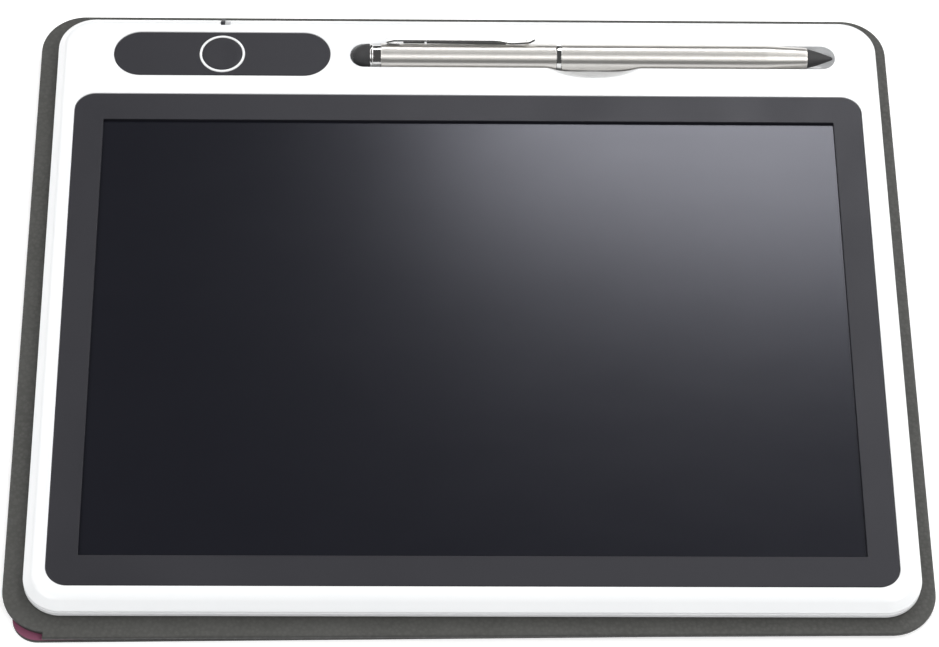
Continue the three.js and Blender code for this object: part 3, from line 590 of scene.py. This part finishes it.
def brushed_steel():
    """Steel brushed round the barrel: reflections smear along the barrel and stay crisp across it."""
    finish = Finish("brushed_steel", (0.74, 0.73, 0.71), 0.33, Metallic=0.84, Anisotropic=0.85,
                    Anisotropic_Rotation=0.25)
    tangent = finish.nodes.new("ShaderNodeTangent")
    tangent.direction_type = "RADIAL"
    tangent.axis = "X"
    finish.links.new(tangent.outputs["Tangent"], finish.shader.inputs["Tangent"])
    lines = finish.noise(0.5, 3, 0.7, stretch=(6, 0.4, 0.4))
    cloud = finish.noise(4, 2)
    tone = finish.mix(lines, (0.67, 0.65, 0.62), (0.81, 0.785, 0.75))
    finish.color(finish.mix(finish.span(cloud, 0.3, 0.7, 0, 0.4), tone, (0.78, 0.755, 0.725)))
    finish.roughness(finish.span(lines, 0.3, 0.7, 0.29, 0.38))
    finish.bump((lines, 0.0003))
    return finish.material


def grey_leather():
    """Grained grey leatherette, with painted shade that darkens the creases between pebbles and the cut
    side wall.
    """
    finish = Finish("grey_leather", (0.065, 0.065, 0.06), 0.45, IOR=1.45)
    pebbles = finish.cells(1.1)
    fine = finish.noise(0.45, 3, 0.6)
    cloud = finish.noise(14, 3)
    # Painted shade: the pebble colour darkens from each pebble's middle towards the creases between
    # pebbles.
    body = finish.mix(finish.span(pebbles, 0.15, 0.75, 0, 1), (0.07, 0.07, 0.065), (0.05, 0.05, 0.046))
    speckled = finish.mix(finish.span(fine, 0.35, 0.7, 0, 0.55), body, (0.044, 0.044, 0.04))
    face = finish.mix(finish.span(cloud, 0.35, 0.65, 0, 0.3), speckled, (0.075, 0.075, 0.071))
    # Painted shade: below the top of the board's side wall the colour is mixed to a darker grey.
    height = finish.node("ShaderNodeSeparateXYZ", Vector=finish.place()).outputs["Z"]
    side_shade = finish.span(height, SIDE_SHADE_BOTTOM, SIDE_SHADE_TOP, 1, 0)
    finish.color(finish.mix(side_shade, face, (0.028, 0.028, 0.027)))
    finish.roughness(finish.span(pebbles, 0.1, 0.7, 0.42, 0.6))
    finish.bump((finish.span(pebbles, 0, 0.8, 1, 0), 0.05), (fine, 0.03))
    return finish.material


def wine_lining():
    """Wine-red lining cloth with a short nap."""
    finish = Finish("wine_lining", (0.2, 0.04, 0.09), 0.75)
    nap = finish.noise(0.3, 3, 0.7)
    cloud = finish.noise(5, 2)
    tone = finish.mix(nap, (0.13, 0.027, 0.06), (0.21, 0.056, 0.108))
    finish.color(finish.mix(finish.span(cloud, 0.3, 0.7, 0, 0.4), tone, (0.175, 0.047, 0.09)))
    finish.roughness(finish.span(nap, 0.3, 0.7, 0.65, 0.85))
    finish.bump((nap, 0.03))
    return finish.material


def sole_rubber():
    """Dark non-slip sheet with a fine stipple."""
    finish = Finish("sole", (0.05, 0.05, 0.048), 0.8)
    stipple = finish.cells(0.7)
    finish.color(finish.mix(finish.noise(3, 3), (0.036, 0.036, 0.035), (0.06, 0.06, 0.058)))
    finish.roughness(finish.span(stipple, 0.1, 0.6, 0.7, 0.9))
    finish.bump((stipple, 0.04))
    return finish.material


def black_plastic():
    finish = Finish("black_plastic", (0.02, 0.02, 0.02), 0.45)
    grain = finish.noise(0.3, 3, 0.6)
    finish.color(finish.mix(grain, (0.015, 0.015, 0.016), (0.028, 0.028, 0.029)))
    finish.roughness(finish.span(grain, 0.3, 0.7, 0.38, 0.55))
    finish.bump((grain, 0.01))
    return finish.material


def plain_steel():
    finish = Finish("plain_steel", (0.6, 0.6, 0.6), 0.3, Metallic=1.0)
    wear = finish.noise(1.5, 4, 0.65)
    finish.color(finish.mix(wear, (0.5, 0.5, 0.5), (0.68, 0.675, 0.66)))
    finish.roughness(finish.span(wear, 0.3, 0.7, 0.22, 0.42))
    finish.bump((finish.noise(0.2, 2), 0.003))
    return finish.material


def copper_flex():
    finish = Finish("copper_flex", (0.6, 0.32, 0.15), 0.35, Metallic=1.0)
    tarnish = finish.noise(1.2, 4, 0.65)
    finish.color(finish.mix(tarnish, (0.42, 0.2, 0.09), (0.7, 0.4, 0.2)))
    finish.roughness(finish.span(tarnish, 0.3, 0.7, 0.25, 0.5))
    finish.bump((tarnish, 0.005))
    return finish.material


def circuit_laminate():
    """Green circuit board with lighter tracks under the lacquer."""
    finish = Finish("circuit_laminate", (0.02, 0.12, 0.05), 0.35)
    tracks = finish.cells(2.2, "DISTANCE_TO_EDGE")
    line = finish.span(tracks, 0.04, 0.07, 1, 0)
    finish.color(finish.mix(line, (0.012, 0.09, 0.035), (0.03, 0.17, 0.07)))
    finish.roughness(finish.span(finish.noise(2, 2), 0.3, 0.7, 0.28, 0.42))
    finish.bump((line, 0.02))
    return finish.material


def adhesive_foam():
    finish = Finish("adhesive_foam", (0.62, 0.6, 0.54), 0.9)
    pores = finish.cells(0.4)
    finish.color(finish.mix(pores, (0.66, 0.64, 0.57), (0.5, 0.48, 0.43)))
    finish.roughness(finish.span(pores, 0, 0.6, 0.85, 0.95))
    finish.bump((pores, 0.05))
    return finish.material


materials = {
    "white_gloss": white_gloss(),
    "dark_satin": dark_satin(),
    "screen_film": screen_film(),
    "rubber": rubber(),
    "chrome": chrome(),
    "brushed_steel": brushed_steel(),
    "grey_leather": grey_leather(),
    "wine_lining": wine_lining(),
    "sole": sole_rubber(),
    "black_plastic": black_plastic(),
    "plain_steel": plain_steel(),
    "copper_flex": copper_flex(),
    "circuit_laminate": circuit_laminate(),
    "adhesive_foam": adhesive_foam(),
}


def piece(name, bm, slot, body, *nodes, cuts=(), joins=()):
    """One finished piece that stands for CAD nodes: a body with what is joined to it and cut from it."""
    thing = to_object(name, bm)
    combine(thing, joins, "UNION")
    combine(thing, cuts, "DIFFERENCE")
    finished(thing, body, slot, nodes)


# ---- base ----------------------------------------------------------------------------------


def board_outline():
    """The board's outline: round corners, and a trimmed arc with a short step at the front left."""
    left, right, back = board.left, board.right, board.back
    slope = BOARD_FRONT_RISE / (right - left)
    corner = board.front - slope * TRIM_END
    untrimmed = rounded([
        (left + TRIM_END, board.front, 0),
        (right, corner + BOARD_FRONT_RISE, BASE_CORNER),
        (right - BASE_TAPER_RIGHT, back, BASE_CORNER),
        (left + BASE_TAPER_LEFT, back, BASE_CORNER),
        (left, corner + TRIM_ARC + TRIM_STEP, 0),
    ], steps=CORNER_STEPS)
    end = 270 - math.degrees(math.asin((TRIM_ARC - TRIM_END) / TRIM_ARC))
    trim_top = corner + TRIM_ARC + TRIM_STEP
    return untrimmed[:-1] + arc(left + TRIM_ARC, trim_top, TRIM_ARC, 180, end, CORNER_STEPS)


def underlay_outline(layer, rise):
    """The outline of the lining or the sole, with its front edge running back by the rise."""
    return rounded([
        (layer.left, layer.front, UNDERLAY_FRONT_LEFT_CORNER),
        (layer.right, layer.front + rise, UNDERLAY_CORNER),
        (layer.right, layer.back, UNDERLAY_CORNER),
        (layer.left, layer.back, UNDERLAY_CORNER),
    ], closed=True, steps=CORNER_STEPS)


def battery_window():
    return bars([cell], WINDOW_RADIUS, BELOW, ABOVE)


def make_base():
    """The board, its lining and the sole, with the battery window through all three."""
    leather = plate(board_outline(), board.bottom, board.top, BOARD_ROUND, BOARD_FOOT_ROUND,
                    BOARD_EDGE_INSET)
    cloth = plate(underlay_outline(lining, LINING_FRONT_RISE), lining.bottom, lining.top, LINING_ROUND)
    sheet = plate(underlay_outline(sole, SOLE_FRONT_RISE), sole.bottom, sole.top, SOLE_ROUND)
    piece("base_board_leather", leather, "grey_leather", "tablet", "base_board", cuts=battery_window())
    piece("base_lining_cloth", cloth, "wine_lining", "tablet", "base_lining", cuts=battery_window())
    piece("base_sole_sheet", sheet, "sole", "tablet", "base_sole", cuts=battery_window())


# ---- shells --------------------------------------------------------------------------------


def shell_outline():
    return around(rear, 0, HOUSING_CORNER)


def make_rear_shell():
    """A shallow tray with a pocket for the groove, screw bosses and the battery opening."""
    profile = rounded([
        (SHELL_EDGE_INSET, rear.bottom, 0),
        (0, rear.bottom, SHELL_EDGE_ROUND),
        (0, REAR_TOP, SHELL_EDGE_ROUND),
        (SHELL_EDGE_INSET, REAR_TOP, 0),
    ])
    thing = to_object("rear_shell_moulded", loft(shell_outline(), profile))
    cavity = loft(shell_outline(), [(REAR_WALL, rear.bottom + REAR_FLOOR), (REAR_WALL, ABOVE)])
    pocket = groove_block(POCKET_GAP, rear.bottom + POCKET_FLOOR, ABOVE)
    combine(thing, [cavity, pocket], "DIFFERENCE")
    combine(thing, bars(screws, BOSS_RADIUS, rear.bottom + JOIN_LAP, rear.top, BOSS_STEPS), "UNION")
    combine(thing, [
        *bars(screws, HEAD_RECESS, BELOW, rear.bottom + HEAD_RECESS_DEPTH, BOSS_STEPS),
        *bars(screws, SCREW_HOLE, BELOW, ABOVE, HOLE_STEPS),
        *bars([cell], DOOR_RADIUS, BELOW, rear.bottom + DOOR_DEPTH),
        *bars([cell], CELL_OPENING, BELOW, ABOVE),
    ], "DIFFERENCE")
    finished(thing, "tablet", "white_gloss", ["rear_shell"])


def groove_cutter():
    """A round-bottomed trough with rounded ends, whose edge rounds over into the face."""
    left = dome.left - GROOVE_END_ROOM
    right = tip.right + GROOVE_END_ROOM
    middle = (dome.y + tip.y) / 2
    lowest, highest = 88, 3  # degrees below level; the bowl starts near its bottom and ends near its side
    layers = []
    for i in range(BOWL_STEPS):
        angle = math.radians(lowest - (lowest - highest) * i / (BOWL_STEPS - 1))
        layers.append((GROOVE_RADIUS * math.cos(angle), dome.z - GROOVE_RADIUS * math.sin(angle)))
    layers += [(GROOVE_RADIUS + outward, z) for outward, z in rim(MOUTH_ROUND, FACE)]
    layers.append((layers[-1][0], ABOVE))
    rings = []
    for radius, z in layers:
        shrink = GROOVE_RADIUS - radius
        outline = stadium(left + shrink, right - shrink, middle, radius)
        rings.append([Vector((p.x, p.y, z)) for p in outline])
    return skin(rings)


def scoop_cutter():
    """A shallow dish beside the groove for a fingertip: a paraboloid that flares a little at the face."""
    middle_x = SCREEN.x + SCOOP_AHEAD
    middle_y = (dome.y + tip.y) / 2 - SCOOP_OFF_AXIS
    half_length, half_width, depth = SCOOP_HALF
    layers = []
    for i in range(BOWL_STEPS):
        share = (i + 1) / (BOWL_STEPS + 1)
        layers.append((share, share, FACE - depth * (1 - share * share)))
    flared = (1 + SCOOP_FLARE / half_length, 1 + SCOOP_FLARE / half_width)
    layers += [(*flared, FACE - SCOOP_RIM), (*flared, ABOVE)]
    rings = []
    for along, across, z in layers:
        row = []
        for p in circle(0, 0, 1):
            x = middle_x + half_length * along * p.x
            y = middle_y + half_width * across * p.y
            row.append(Vector((x, y, z)))
        rings.append(row)
    return skin(rings)


def rib_front():
    """Where the lock slider's visible rib starts; its tongue reaches further in under the face."""
    return rib.back - RIB_LENGTH


def make_front_shell():
    """The cover with its sloped edge, and everything that is let into its face."""
    bottom = REAR_TOP + PARTING
    profile = rounded([
        (SHELL_EDGE_INSET, bottom, 0),
        (0, bottom, SHELL_EDGE_ROUND),
        (0, FACE - SLOPE_DROP, SLOPE_FOOT_ROUND),
        (SLOPE_RUN, FACE, SLOPE_TOP_ROUND),
        (SLOPE_RUN + FACE_MARGIN, FACE, 0),
    ], steps=BEND_STEPS)
    thing = to_object("front_shell_moulded", loft(shell_outline(), profile))
    combine(thing, [loft(shell_outline(), [(WALL, BELOW), (WALL, CEILING)])], "DIFFERENCE")
    combine(thing, [
        groove_block(0, housing.bottom, CEILING + JOIN_LAP),
        *bars(screws, BOSS_RADIUS, rear.top + PARTING, CEILING + JOIN_LAP, BOSS_STEPS),
    ], "UNION")

    window = around(film, FILM_GAP, FILM_WINDOW_CORNER, SMALL_CORNER_STEPS)
    bezel_recess = around(bezel, RECESS_FIT, BEZEL_CORNER + RECESS_FIT)
    pill_half = panel.half_depth + RECESS_FIT
    pill_recess = stadium(panel.left - RECESS_FIT, panel.right + RECESS_FIT, panel.y, pill_half)
    slot_front = rib_front() - SLOT_GAP
    slot_back = housing.back + SLOT_PAST_BACK
    slot = rectangle(rib.x - SLOT_LEFT, rib.x + SLOT_RIGHT, slot_front, slot_back, SLOT_CORNER,
                     SMALL_CORNER_STEPS)
    combine(thing, [
        prism(window, BELOW, ABOVE),
        mouth(bezel_recess, RECESS_FLOOR, FACE),
        mouth(pill_recess, RECESS_FLOOR, FACE),
        *bars([button], button.half_width + BUTTON_FIT, BELOW, ABOVE),
        groove_cutter(),
        scoop_cutter(),
        mouth(slot, FACE - SLOT_DEPTH, FACE, SLOT_ROUND),
        *bars(screws, SCREW_HOLE, BELOW, CEILING + SCREW_HOLE_INTO_FACE, HOLE_STEPS),
    ], "DIFFERENCE")
    finished(thing, "tablet", "white_gloss", ["front_shell"])


# ---- screen and buttons --------------------------------------------------------------------


def hole_cutter(outline, level):
    """A cutter right through a plate, with a rounded upper edge."""
    return mouth(outline, BELOW, level, PLATE_HOLE_ROUND)


def make_bezel():
    outline = around(bezel, 0, BEZEL_CORNER)
    body = plate(outline, bezel.bottom, bezel.top, PLATE_ROUND)
    window = around(film, -FILM_LAP, BEZEL_WINDOW_CORNER, ROUND_STEPS)
    cuts = [hole_cutter(window, bezel.top)]
    piece("screen_bezel_plate", body, "dark_satin", "tablet", "screen_bezel", cuts=cuts)


def make_button_panel():
    outline = stadium(panel.left, panel.right, panel.y, panel.half_depth)
    body = plate(outline, panel.bottom, panel.top, PLATE_ROUND)
    cuts = [hole_cutter(circle(ring.x, ring.y, RING_RADIUS + RING_FIT), panel.top)]
    piece("button_panel_plate", body, "dark_satin", "tablet", "button_panel", cuts=cuts)


def make_ring_and_button():
    """Both are turned about the ring's upright axis; the button's top is slightly dished."""
    upright = Matrix.Translation((ring.x, ring.y, 0))
    trim = rounded([
        (ring.bottom, RING_INNER, 0.1),
        (ring.bottom, RING_RADIUS, 0.1),
        (ring.top, RING_RADIUS, 0.26),
        (ring.top, RING_INNER, 0.2),
    ], closed=True)
    piece("button_ring_trim", turned(trim, upright, closed=True), "white_gloss", "tablet", "button_ring")

    radius = RING_INNER - CAP_GAP
    cap_bottom = button.bottom + CAP_FOOT
    cap = rounded([
        (button.bottom, 0, 0),
        (button.bottom, CAP_STEM, 0.1),
        (cap_bottom, CAP_STEM, 0),
        (cap_bottom, radius, 0.1),
        (button.top, radius, 0.15),
        (button.top - CAP_DISH / 4, radius * 0.72, 4.0),
        (button.top - CAP_DISH, 0, 0),
    ])
    piece("erase_button_cap", turned(cap, upright), "dark_satin", "erase_button", "erase_button")


# ---- stylus --------------------------------------------------------------------------------


def pen_place():
    """Local Z runs along the stylus axis; its origin is level with the screen's middle."""
    start = Vector((dome.x, dome.y, dome.z))
    end = Vector((tip.x, tip.y, tip.z))
    along = (end - start).normalized()
    middle = start + along * ((SCREEN.x - start.x) / along.x)
    return Matrix.Translation(middle) @ along.to_track_quat("Z", "Y").to_matrix().to_4x4()


def local(x):
    """A place along the stylus, from the screen's middle."""
    return x - SCREEN.x


def make_dome():
    """A rubber dome with a plug that enters the collar."""
    back = collar.left - DOME_SEAM
    length = back - dome.left
    radius = dome.half_height
    profile = []
    for i in range(DOME_STEPS + 1):
        angle = math.radians(90 * i / DOME_STEPS)
        profile.append((local(dome.left) + length * (1 - math.cos(angle)), radius * math.sin(angle)))
    profile += [(local(back), DOME_PLUG), (local(dome.right), DOME_PLUG), (local(dome.right), 0)]
    piece("stylus_dome_rubber", turned(profile, pen_place()), "rubber", "stylus", "stylus_dome")


def make_collar():
    """A plated collar that steps down towards the barrel."""
    radius = collar.half_height
    start, end = local(collar.left), local(collar.right)
    profile = rounded([
        (start, COLLAR_BORE, 0),
        (start, radius, 0.3),
        (start + COLLAR_HEAD, radius, 0.3),
        (start + COLLAR_HEAD + 0.2, radius - COLLAR_STEP, 0.1),
        (end, radius - COLLAR_STEP, 0.05),
        (end, COLLAR_BORE, 0),
    ], closed=True)
    body = turned(profile, pen_place(), closed=True)
    piece("stylus_collar_plated", body, "chrome", "stylus", "stylus_collar")


def sleeve(box, radius, start_round, end_round):
    """A plain tube as long as a CAD node's box."""
    start, end = local(box.left), local(box.right)
    profile = rounded([
        (start, PEN_BORE, 0),
        (start, radius, start_round),
        (end, radius, end_round),
        (end, PEN_BORE, 0),
    ], closed=True)
    return turned(profile, pen_place(), closed=True)


def make_rear_barrel():
    """A tube that narrows in a long curve to a small bead at the tip."""
    start, end = local(rear_barrel.left), local(rear_barrel.right)
    profile = rounded([
        (start, PEN_BORE, 0),
        (start, PEN_RADIUS, 0.15),
        (end - PEN_TAPER, PEN_RADIUS, 14),
        (end - 0.9, TIP_RADIUS + 0.35, 2),
        (end - 0.5, TIP_RADIUS + 0.3, 0.2),
        (end, TIP_RADIUS + 0.22, 0.15),
        (end, NOSE_BORE, 0),
        (end - NOSE_BORE_LENGTH, NOSE_BORE, 0),
        (end - NOSE_BORE_LENGTH - 2, PEN_BORE, 0),
    ], closed=True, steps=BEND_STEPS)
    body = turned(profile, pen_place(), closed=True)
    piece("stylus_rear_barrel_tube", body, "brushed_steel", "stylus", "stylus_rear_barrel")


def make_tip():
    """A bellied rubber point with a plug that enters the rear barrel."""
    start, end = local(tip.left), local(tip.right)
    base = local(rear_barrel.right) + TIP_SEAM
    belly, belly_radius = TIP_BELLY
    profile = rounded([
        (start, 0, 0),
        (start, TIP_PLUG, 0.1),
        (base, TIP_PLUG, 0),
        (base, TIP_RADIUS, 0.12),
        (base + belly, belly_radius, 9),
        (end - 0.25, TIP_POINT, 0.5),
        (end, 0, 0),
    ], steps=BEND_STEPS)
    piece("stylus_tip_rubber", turned(profile, pen_place()), "rubber", "stylus", "stylus_tip")


def make_stylus():
    """The pen from its dome on the left to its writing tip on the right."""
    make_dome()
    make_collar()
    barrel = sleeve(front_barrel, PEN_RADIUS, 0.25, 0.15)
    piece("stylus_front_barrel_tube", barrel, "brushed_steel", "stylus", "stylus_front_barrel")
    band = sleeve(mid_ring, mid_ring.half_height, 0.1, 0.1)
    piece("stylus_mid_ring_plated", band, "chrome", "stylus", "stylus_mid_ring")
    make_rear_barrel()
    make_tip()


def clip_frame():
    """Local Z out from the stylus axis through the clip, local X along the stylus."""
    middle = Vector((SCREEN.x, dome.y, dome.z))
    along = Vector((1, 0, 0))
    out = Vector((0, math.cos(CLIP_LEAN), math.sin(CLIP_LEAN)))
    across = out.cross(along)
    return Matrix.Translation(middle) @ Matrix((along, across, out)).transposed().to_4x4()


def strip(path, low, high, edge_round):
    """A bar of the clip, from low to high across it, whose side view is a path of (along, out) points."""
    place = clip_frame()
    rows = []
    for i in range(ROUND_STEPS + 1):
        angle = math.radians(90 * i / ROUND_STEPS)
        rows.append((edge_round * (1 - math.sin(angle)), edge_round * (1 - math.cos(angle))))
    layers = [(inset, low + step) for inset, step in rows]
    layers += [(inset, high - step) for inset, step in reversed(rows)]
    rings = []
    for inset, across in layers:
        rings.append([place @ Vector((p.x, across, p.y)) for p in offset(path, inset)])
    return skin(rings)


def make_clip_root():
    """The low block on the barrel that carries the clip."""
    end = CLIP_START + CLIP_ROOT_LENGTH
    side = rounded([
        (CLIP_START, CLIP_SEAT, 0.05),
        (end, CLIP_SEAT, 0.1),
        (end, CLIP_SEAT + CLIP_ROOT_NOSE, 0.1),
        (CLIP_START + 1.1, CLIP_SEAT + CLIP_ROOT_HEIGHT, 0.3),
        (CLIP_START + 0.3, CLIP_SEAT + CLIP_ROOT_NOSE, 0.05),
    ], closed=True)
    piece("clip_root_plated", strip(side, -CLIP_HALF, CLIP_HALF, 0.1), "chrome", "stylus", "clip_root")


def clip_side():
    """The strip from the side: out from the root, along, in to the barrel, and turned up at its end."""
    bend = CLIP_START + CLIP_BEND
    touch = CLIP_END - CLIP_TOUCH
    low = CLIP_SEAT + CLIP_TOUCH_GAP
    thickness = CLIP_OUTER - CLIP_INNER
    return rounded([
        (CLIP_START + 0.45, CLIP_SEAT + 0.5, 0.15),
        (bend + 0.1, CLIP_INNER, 1.0),
        (touch - 4.5, CLIP_INNER, 5),
        (touch, low, 8),
        (CLIP_END - 1.8, low + 0.3, 1.2),
        (CLIP_END, low + 1.2, 0.1),
        (CLIP_END - 0.3, low + 1.75, 0.15),
        (CLIP_END - 2.1, low + 0.3 + thickness, 1.2),
        (touch + 0.1, low + thickness, 8),
        (touch - 4.3, CLIP_OUTER, 5),
        (bend - 0.1, CLIP_OUTER, 1.2),
        (CLIP_START + 0.1, CLIP_SEAT + 0.9, 0.15),
    ], closed=True)


def clip_flanges():
    """The folded sides under the strip: a short pair near the root, then a long pair."""
    joined = CLIP_INNER + FLANGE_LAP
    touch = CLIP_END - CLIP_TOUCH
    start = CLIP_START + FLANGE_START
    split, split_end = (CLIP_START + along for along in FLANGE_SPLIT)
    short = [
        (start, FLANGE_BOTTOM, 0.3),
        (split, FLANGE_BOTTOM, 0.1),
        (split, joined, 0),
        (start, joined, 0),
    ]
    long = [
        (split_end, FLANGE_BOTTOM, 0.1),
        (touch - 1.6, FLANGE_BOTTOM - 0.2, 0.1),
        (touch - 1.6, joined - 0.5, 0),
        (touch - 4.8, joined, 0),
        (split_end, joined, 0),
    ]
    outer = CLIP_HALF - FLANGE_INSET
    inner = CLIP_HALF - FLANGE_THICKNESS
    bodies = []
    for corners in (short, long):
        for low, high in ((inner, outer), (-outer, -inner)):
            bodies.append(strip(rounded(corners, closed=True), low, high, 0.05))
    return bodies


def make_clip():
    """The sprung strip with its flanges and the ball that rests on the barrel."""
    ball = bmesh.new()
    bmesh.ops.create_uvsphere(ball, u_segments=24, v_segments=16, radius=CLIP_BALL_RADIUS)
    centre = Vector((CLIP_END - CLIP_BALL_BACK, 0, CLIP_SEAT + 2 * CLIP_TOUCH_GAP))
    bmesh.ops.transform(ball, matrix=clip_frame() @ Matrix.Translation(centre), verts=ball.verts)
    body = strip(clip_side(), -CLIP_HALF, CLIP_HALF, CLIP_EDGE_ROUND)
    piece("stylus_clip_sprung", body, "chrome", "clip", "stylus_clip", joins=[*clip_flanges(), ball])


def carried_over():
    """Gives every CAD node that still shows its own procedural finish."""
    slots = {part["node"]: part["material_slot"] for part in frame["record"]["subparts"]}
    for name, node in frame["nodes"].items():
        if node.hide_render:
            continue
        node.data.materials.clear()
        node.data.materials.append(materials[slots[name]])


# ---- studio --------------------------------------------------------------------------------

# Angles are in degrees, the view's lengths in millimetres, and the lights' and the floor's in metres.
VIEW_PITCH = 57.28
VIEW_YAW = -2.375
VIEW_ROLL = 2.236
VIEW_DISTANCE = 966.9
VIEW_ASIDE = 0.519  # how far right of the view's axis the screen's middle is
VIEW_ABOVE = -1.661
LENS = 134.2
SENSOR_WIDTH = 36

FLOOR_HALF = 6
FLOOR_DROP = 0.0002  # keeps the floor just clear of the sole
FLOOR_GLOW = 0.35
WORLD_GLOW = 0.07
WHITE = (1, 1, 1, 1)
SOFTBOXES = [  # name, azimuth, elevation, distance, width, height, power in watts
    ("softbox_back_left", -62, 42, 1.6, 1.1, 1.1, 8.4),
    ("softbox_back_right", 62, 42, 1.6, 1.1, 1.1, 10.5),
    ("softbox_front_left", -125, 42, 1.6, 1.2, 1.1, 12),
    ("softbox_front_right", 125, 42, 1.6, 1.2, 1.1, 14),
    ("softbox_back", 12.5, 44.1, 1.3, 0.32, 0.44, 4.0),
]


def make_camera():
    """A long lens from in front and above."""
    pitch = math.radians(VIEW_PITCH)
    yaw = math.radians(VIEW_YAW)
    roll = math.radians(VIEW_ROLL)
    back = Vector((math.sin(yaw) * math.cos(pitch), -math.cos(yaw) * math.cos(pitch), math.sin(pitch)))
    level = Vector((math.cos(yaw), math.sin(yaw), 0))
    rise = back.cross(level)
    right = math.cos(roll) * level + math.sin(roll) * rise
    up = -math.sin(roll) * level + math.cos(roll) * rise
    eye = SCREEN - VIEW_ASIDE * right - VIEW_ABOVE * up + VIEW_DISTANCE * back
    data = bpy.data.cameras.new("camera")
    data.sensor_width = SENSOR_WIDTH
    data.lens = LENS
    data.clip_start = 0.01
    data.clip_end = 50
    camera = bpy.data.objects.new("camera", data)
    bpy.context.scene.collection.objects.link(camera)
    turn = Matrix((right, up, back)).transposed().to_4x4()
    camera.matrix_world = Matrix.Translation(eye * MM) @ turn
    bpy.context.scene.camera = camera


def softbox(name, azimuth, elevation, distance, width, height, power):
    """A rectangular light aimed at the tablet. Azimuth 0 is behind it, and grows to the right."""
    data = bpy.data.lights.new(name, "AREA")
    data.shape = "RECTANGLE"
    data.size = width
    data.size_y = height
    data.energy = power
    light = bpy.data.objects.new(name, data)
    bpy.context.scene.collection.objects.link(light)
    turn = math.radians(azimuth)
    tilt = math.radians(elevation)
    way = Vector((math.sin(turn) * math.cos(tilt), math.cos(turn) * math.cos(tilt), math.sin(tilt)))
    light.location = SCREEN * MM + way * distance
    light.rotation_mode = "QUATERNION"
    light.rotation_quaternion = (-way).to_track_quat("-Z", "Y")


def make_floor():
    bm = bmesh.new()
    bmesh.ops.create_grid(bm, x_segments=1, y_segments=1, size=FLOOR_HALF)
    floor = to_object("floor", bm)
    floor.location.z = -FLOOR_DROP
    finish = Finish("floor", (0.93, 0.93, 0.93), 0.8, Emission_Color=WHITE, Emission_Strength=FLOOR_GLOW)
    finish.color(finish.mix(finish.noise(400, 2), (0.92, 0.92, 0.92), (0.94, 0.94, 0.94)))
    floor.data.materials.append(finish.material)


def make_studio():
    """A white floor, a faint white world and five softboxes."""
    make_floor()
    world = bpy.data.worlds.new("studio")
    world.use_nodes = True
    background = world.node_tree.nodes["Background"]
    background.inputs["Color"].default_value = WHITE
    background.inputs["Strength"].default_value = WORLD_GLOW
    bpy.context.scene.world = world
    for box in SOFTBOXES:
        softbox(*box)
    bpy.context.scene.view_settings.view_transform = "Standard"


make_camera()
make_studio()
make_base()
make_rear_shell()
make_front_shell()
make_bezel()
make_button_panel()
make_ring_and_button()
make_stylus()
make_clip_root()
make_clip()
carried_over()
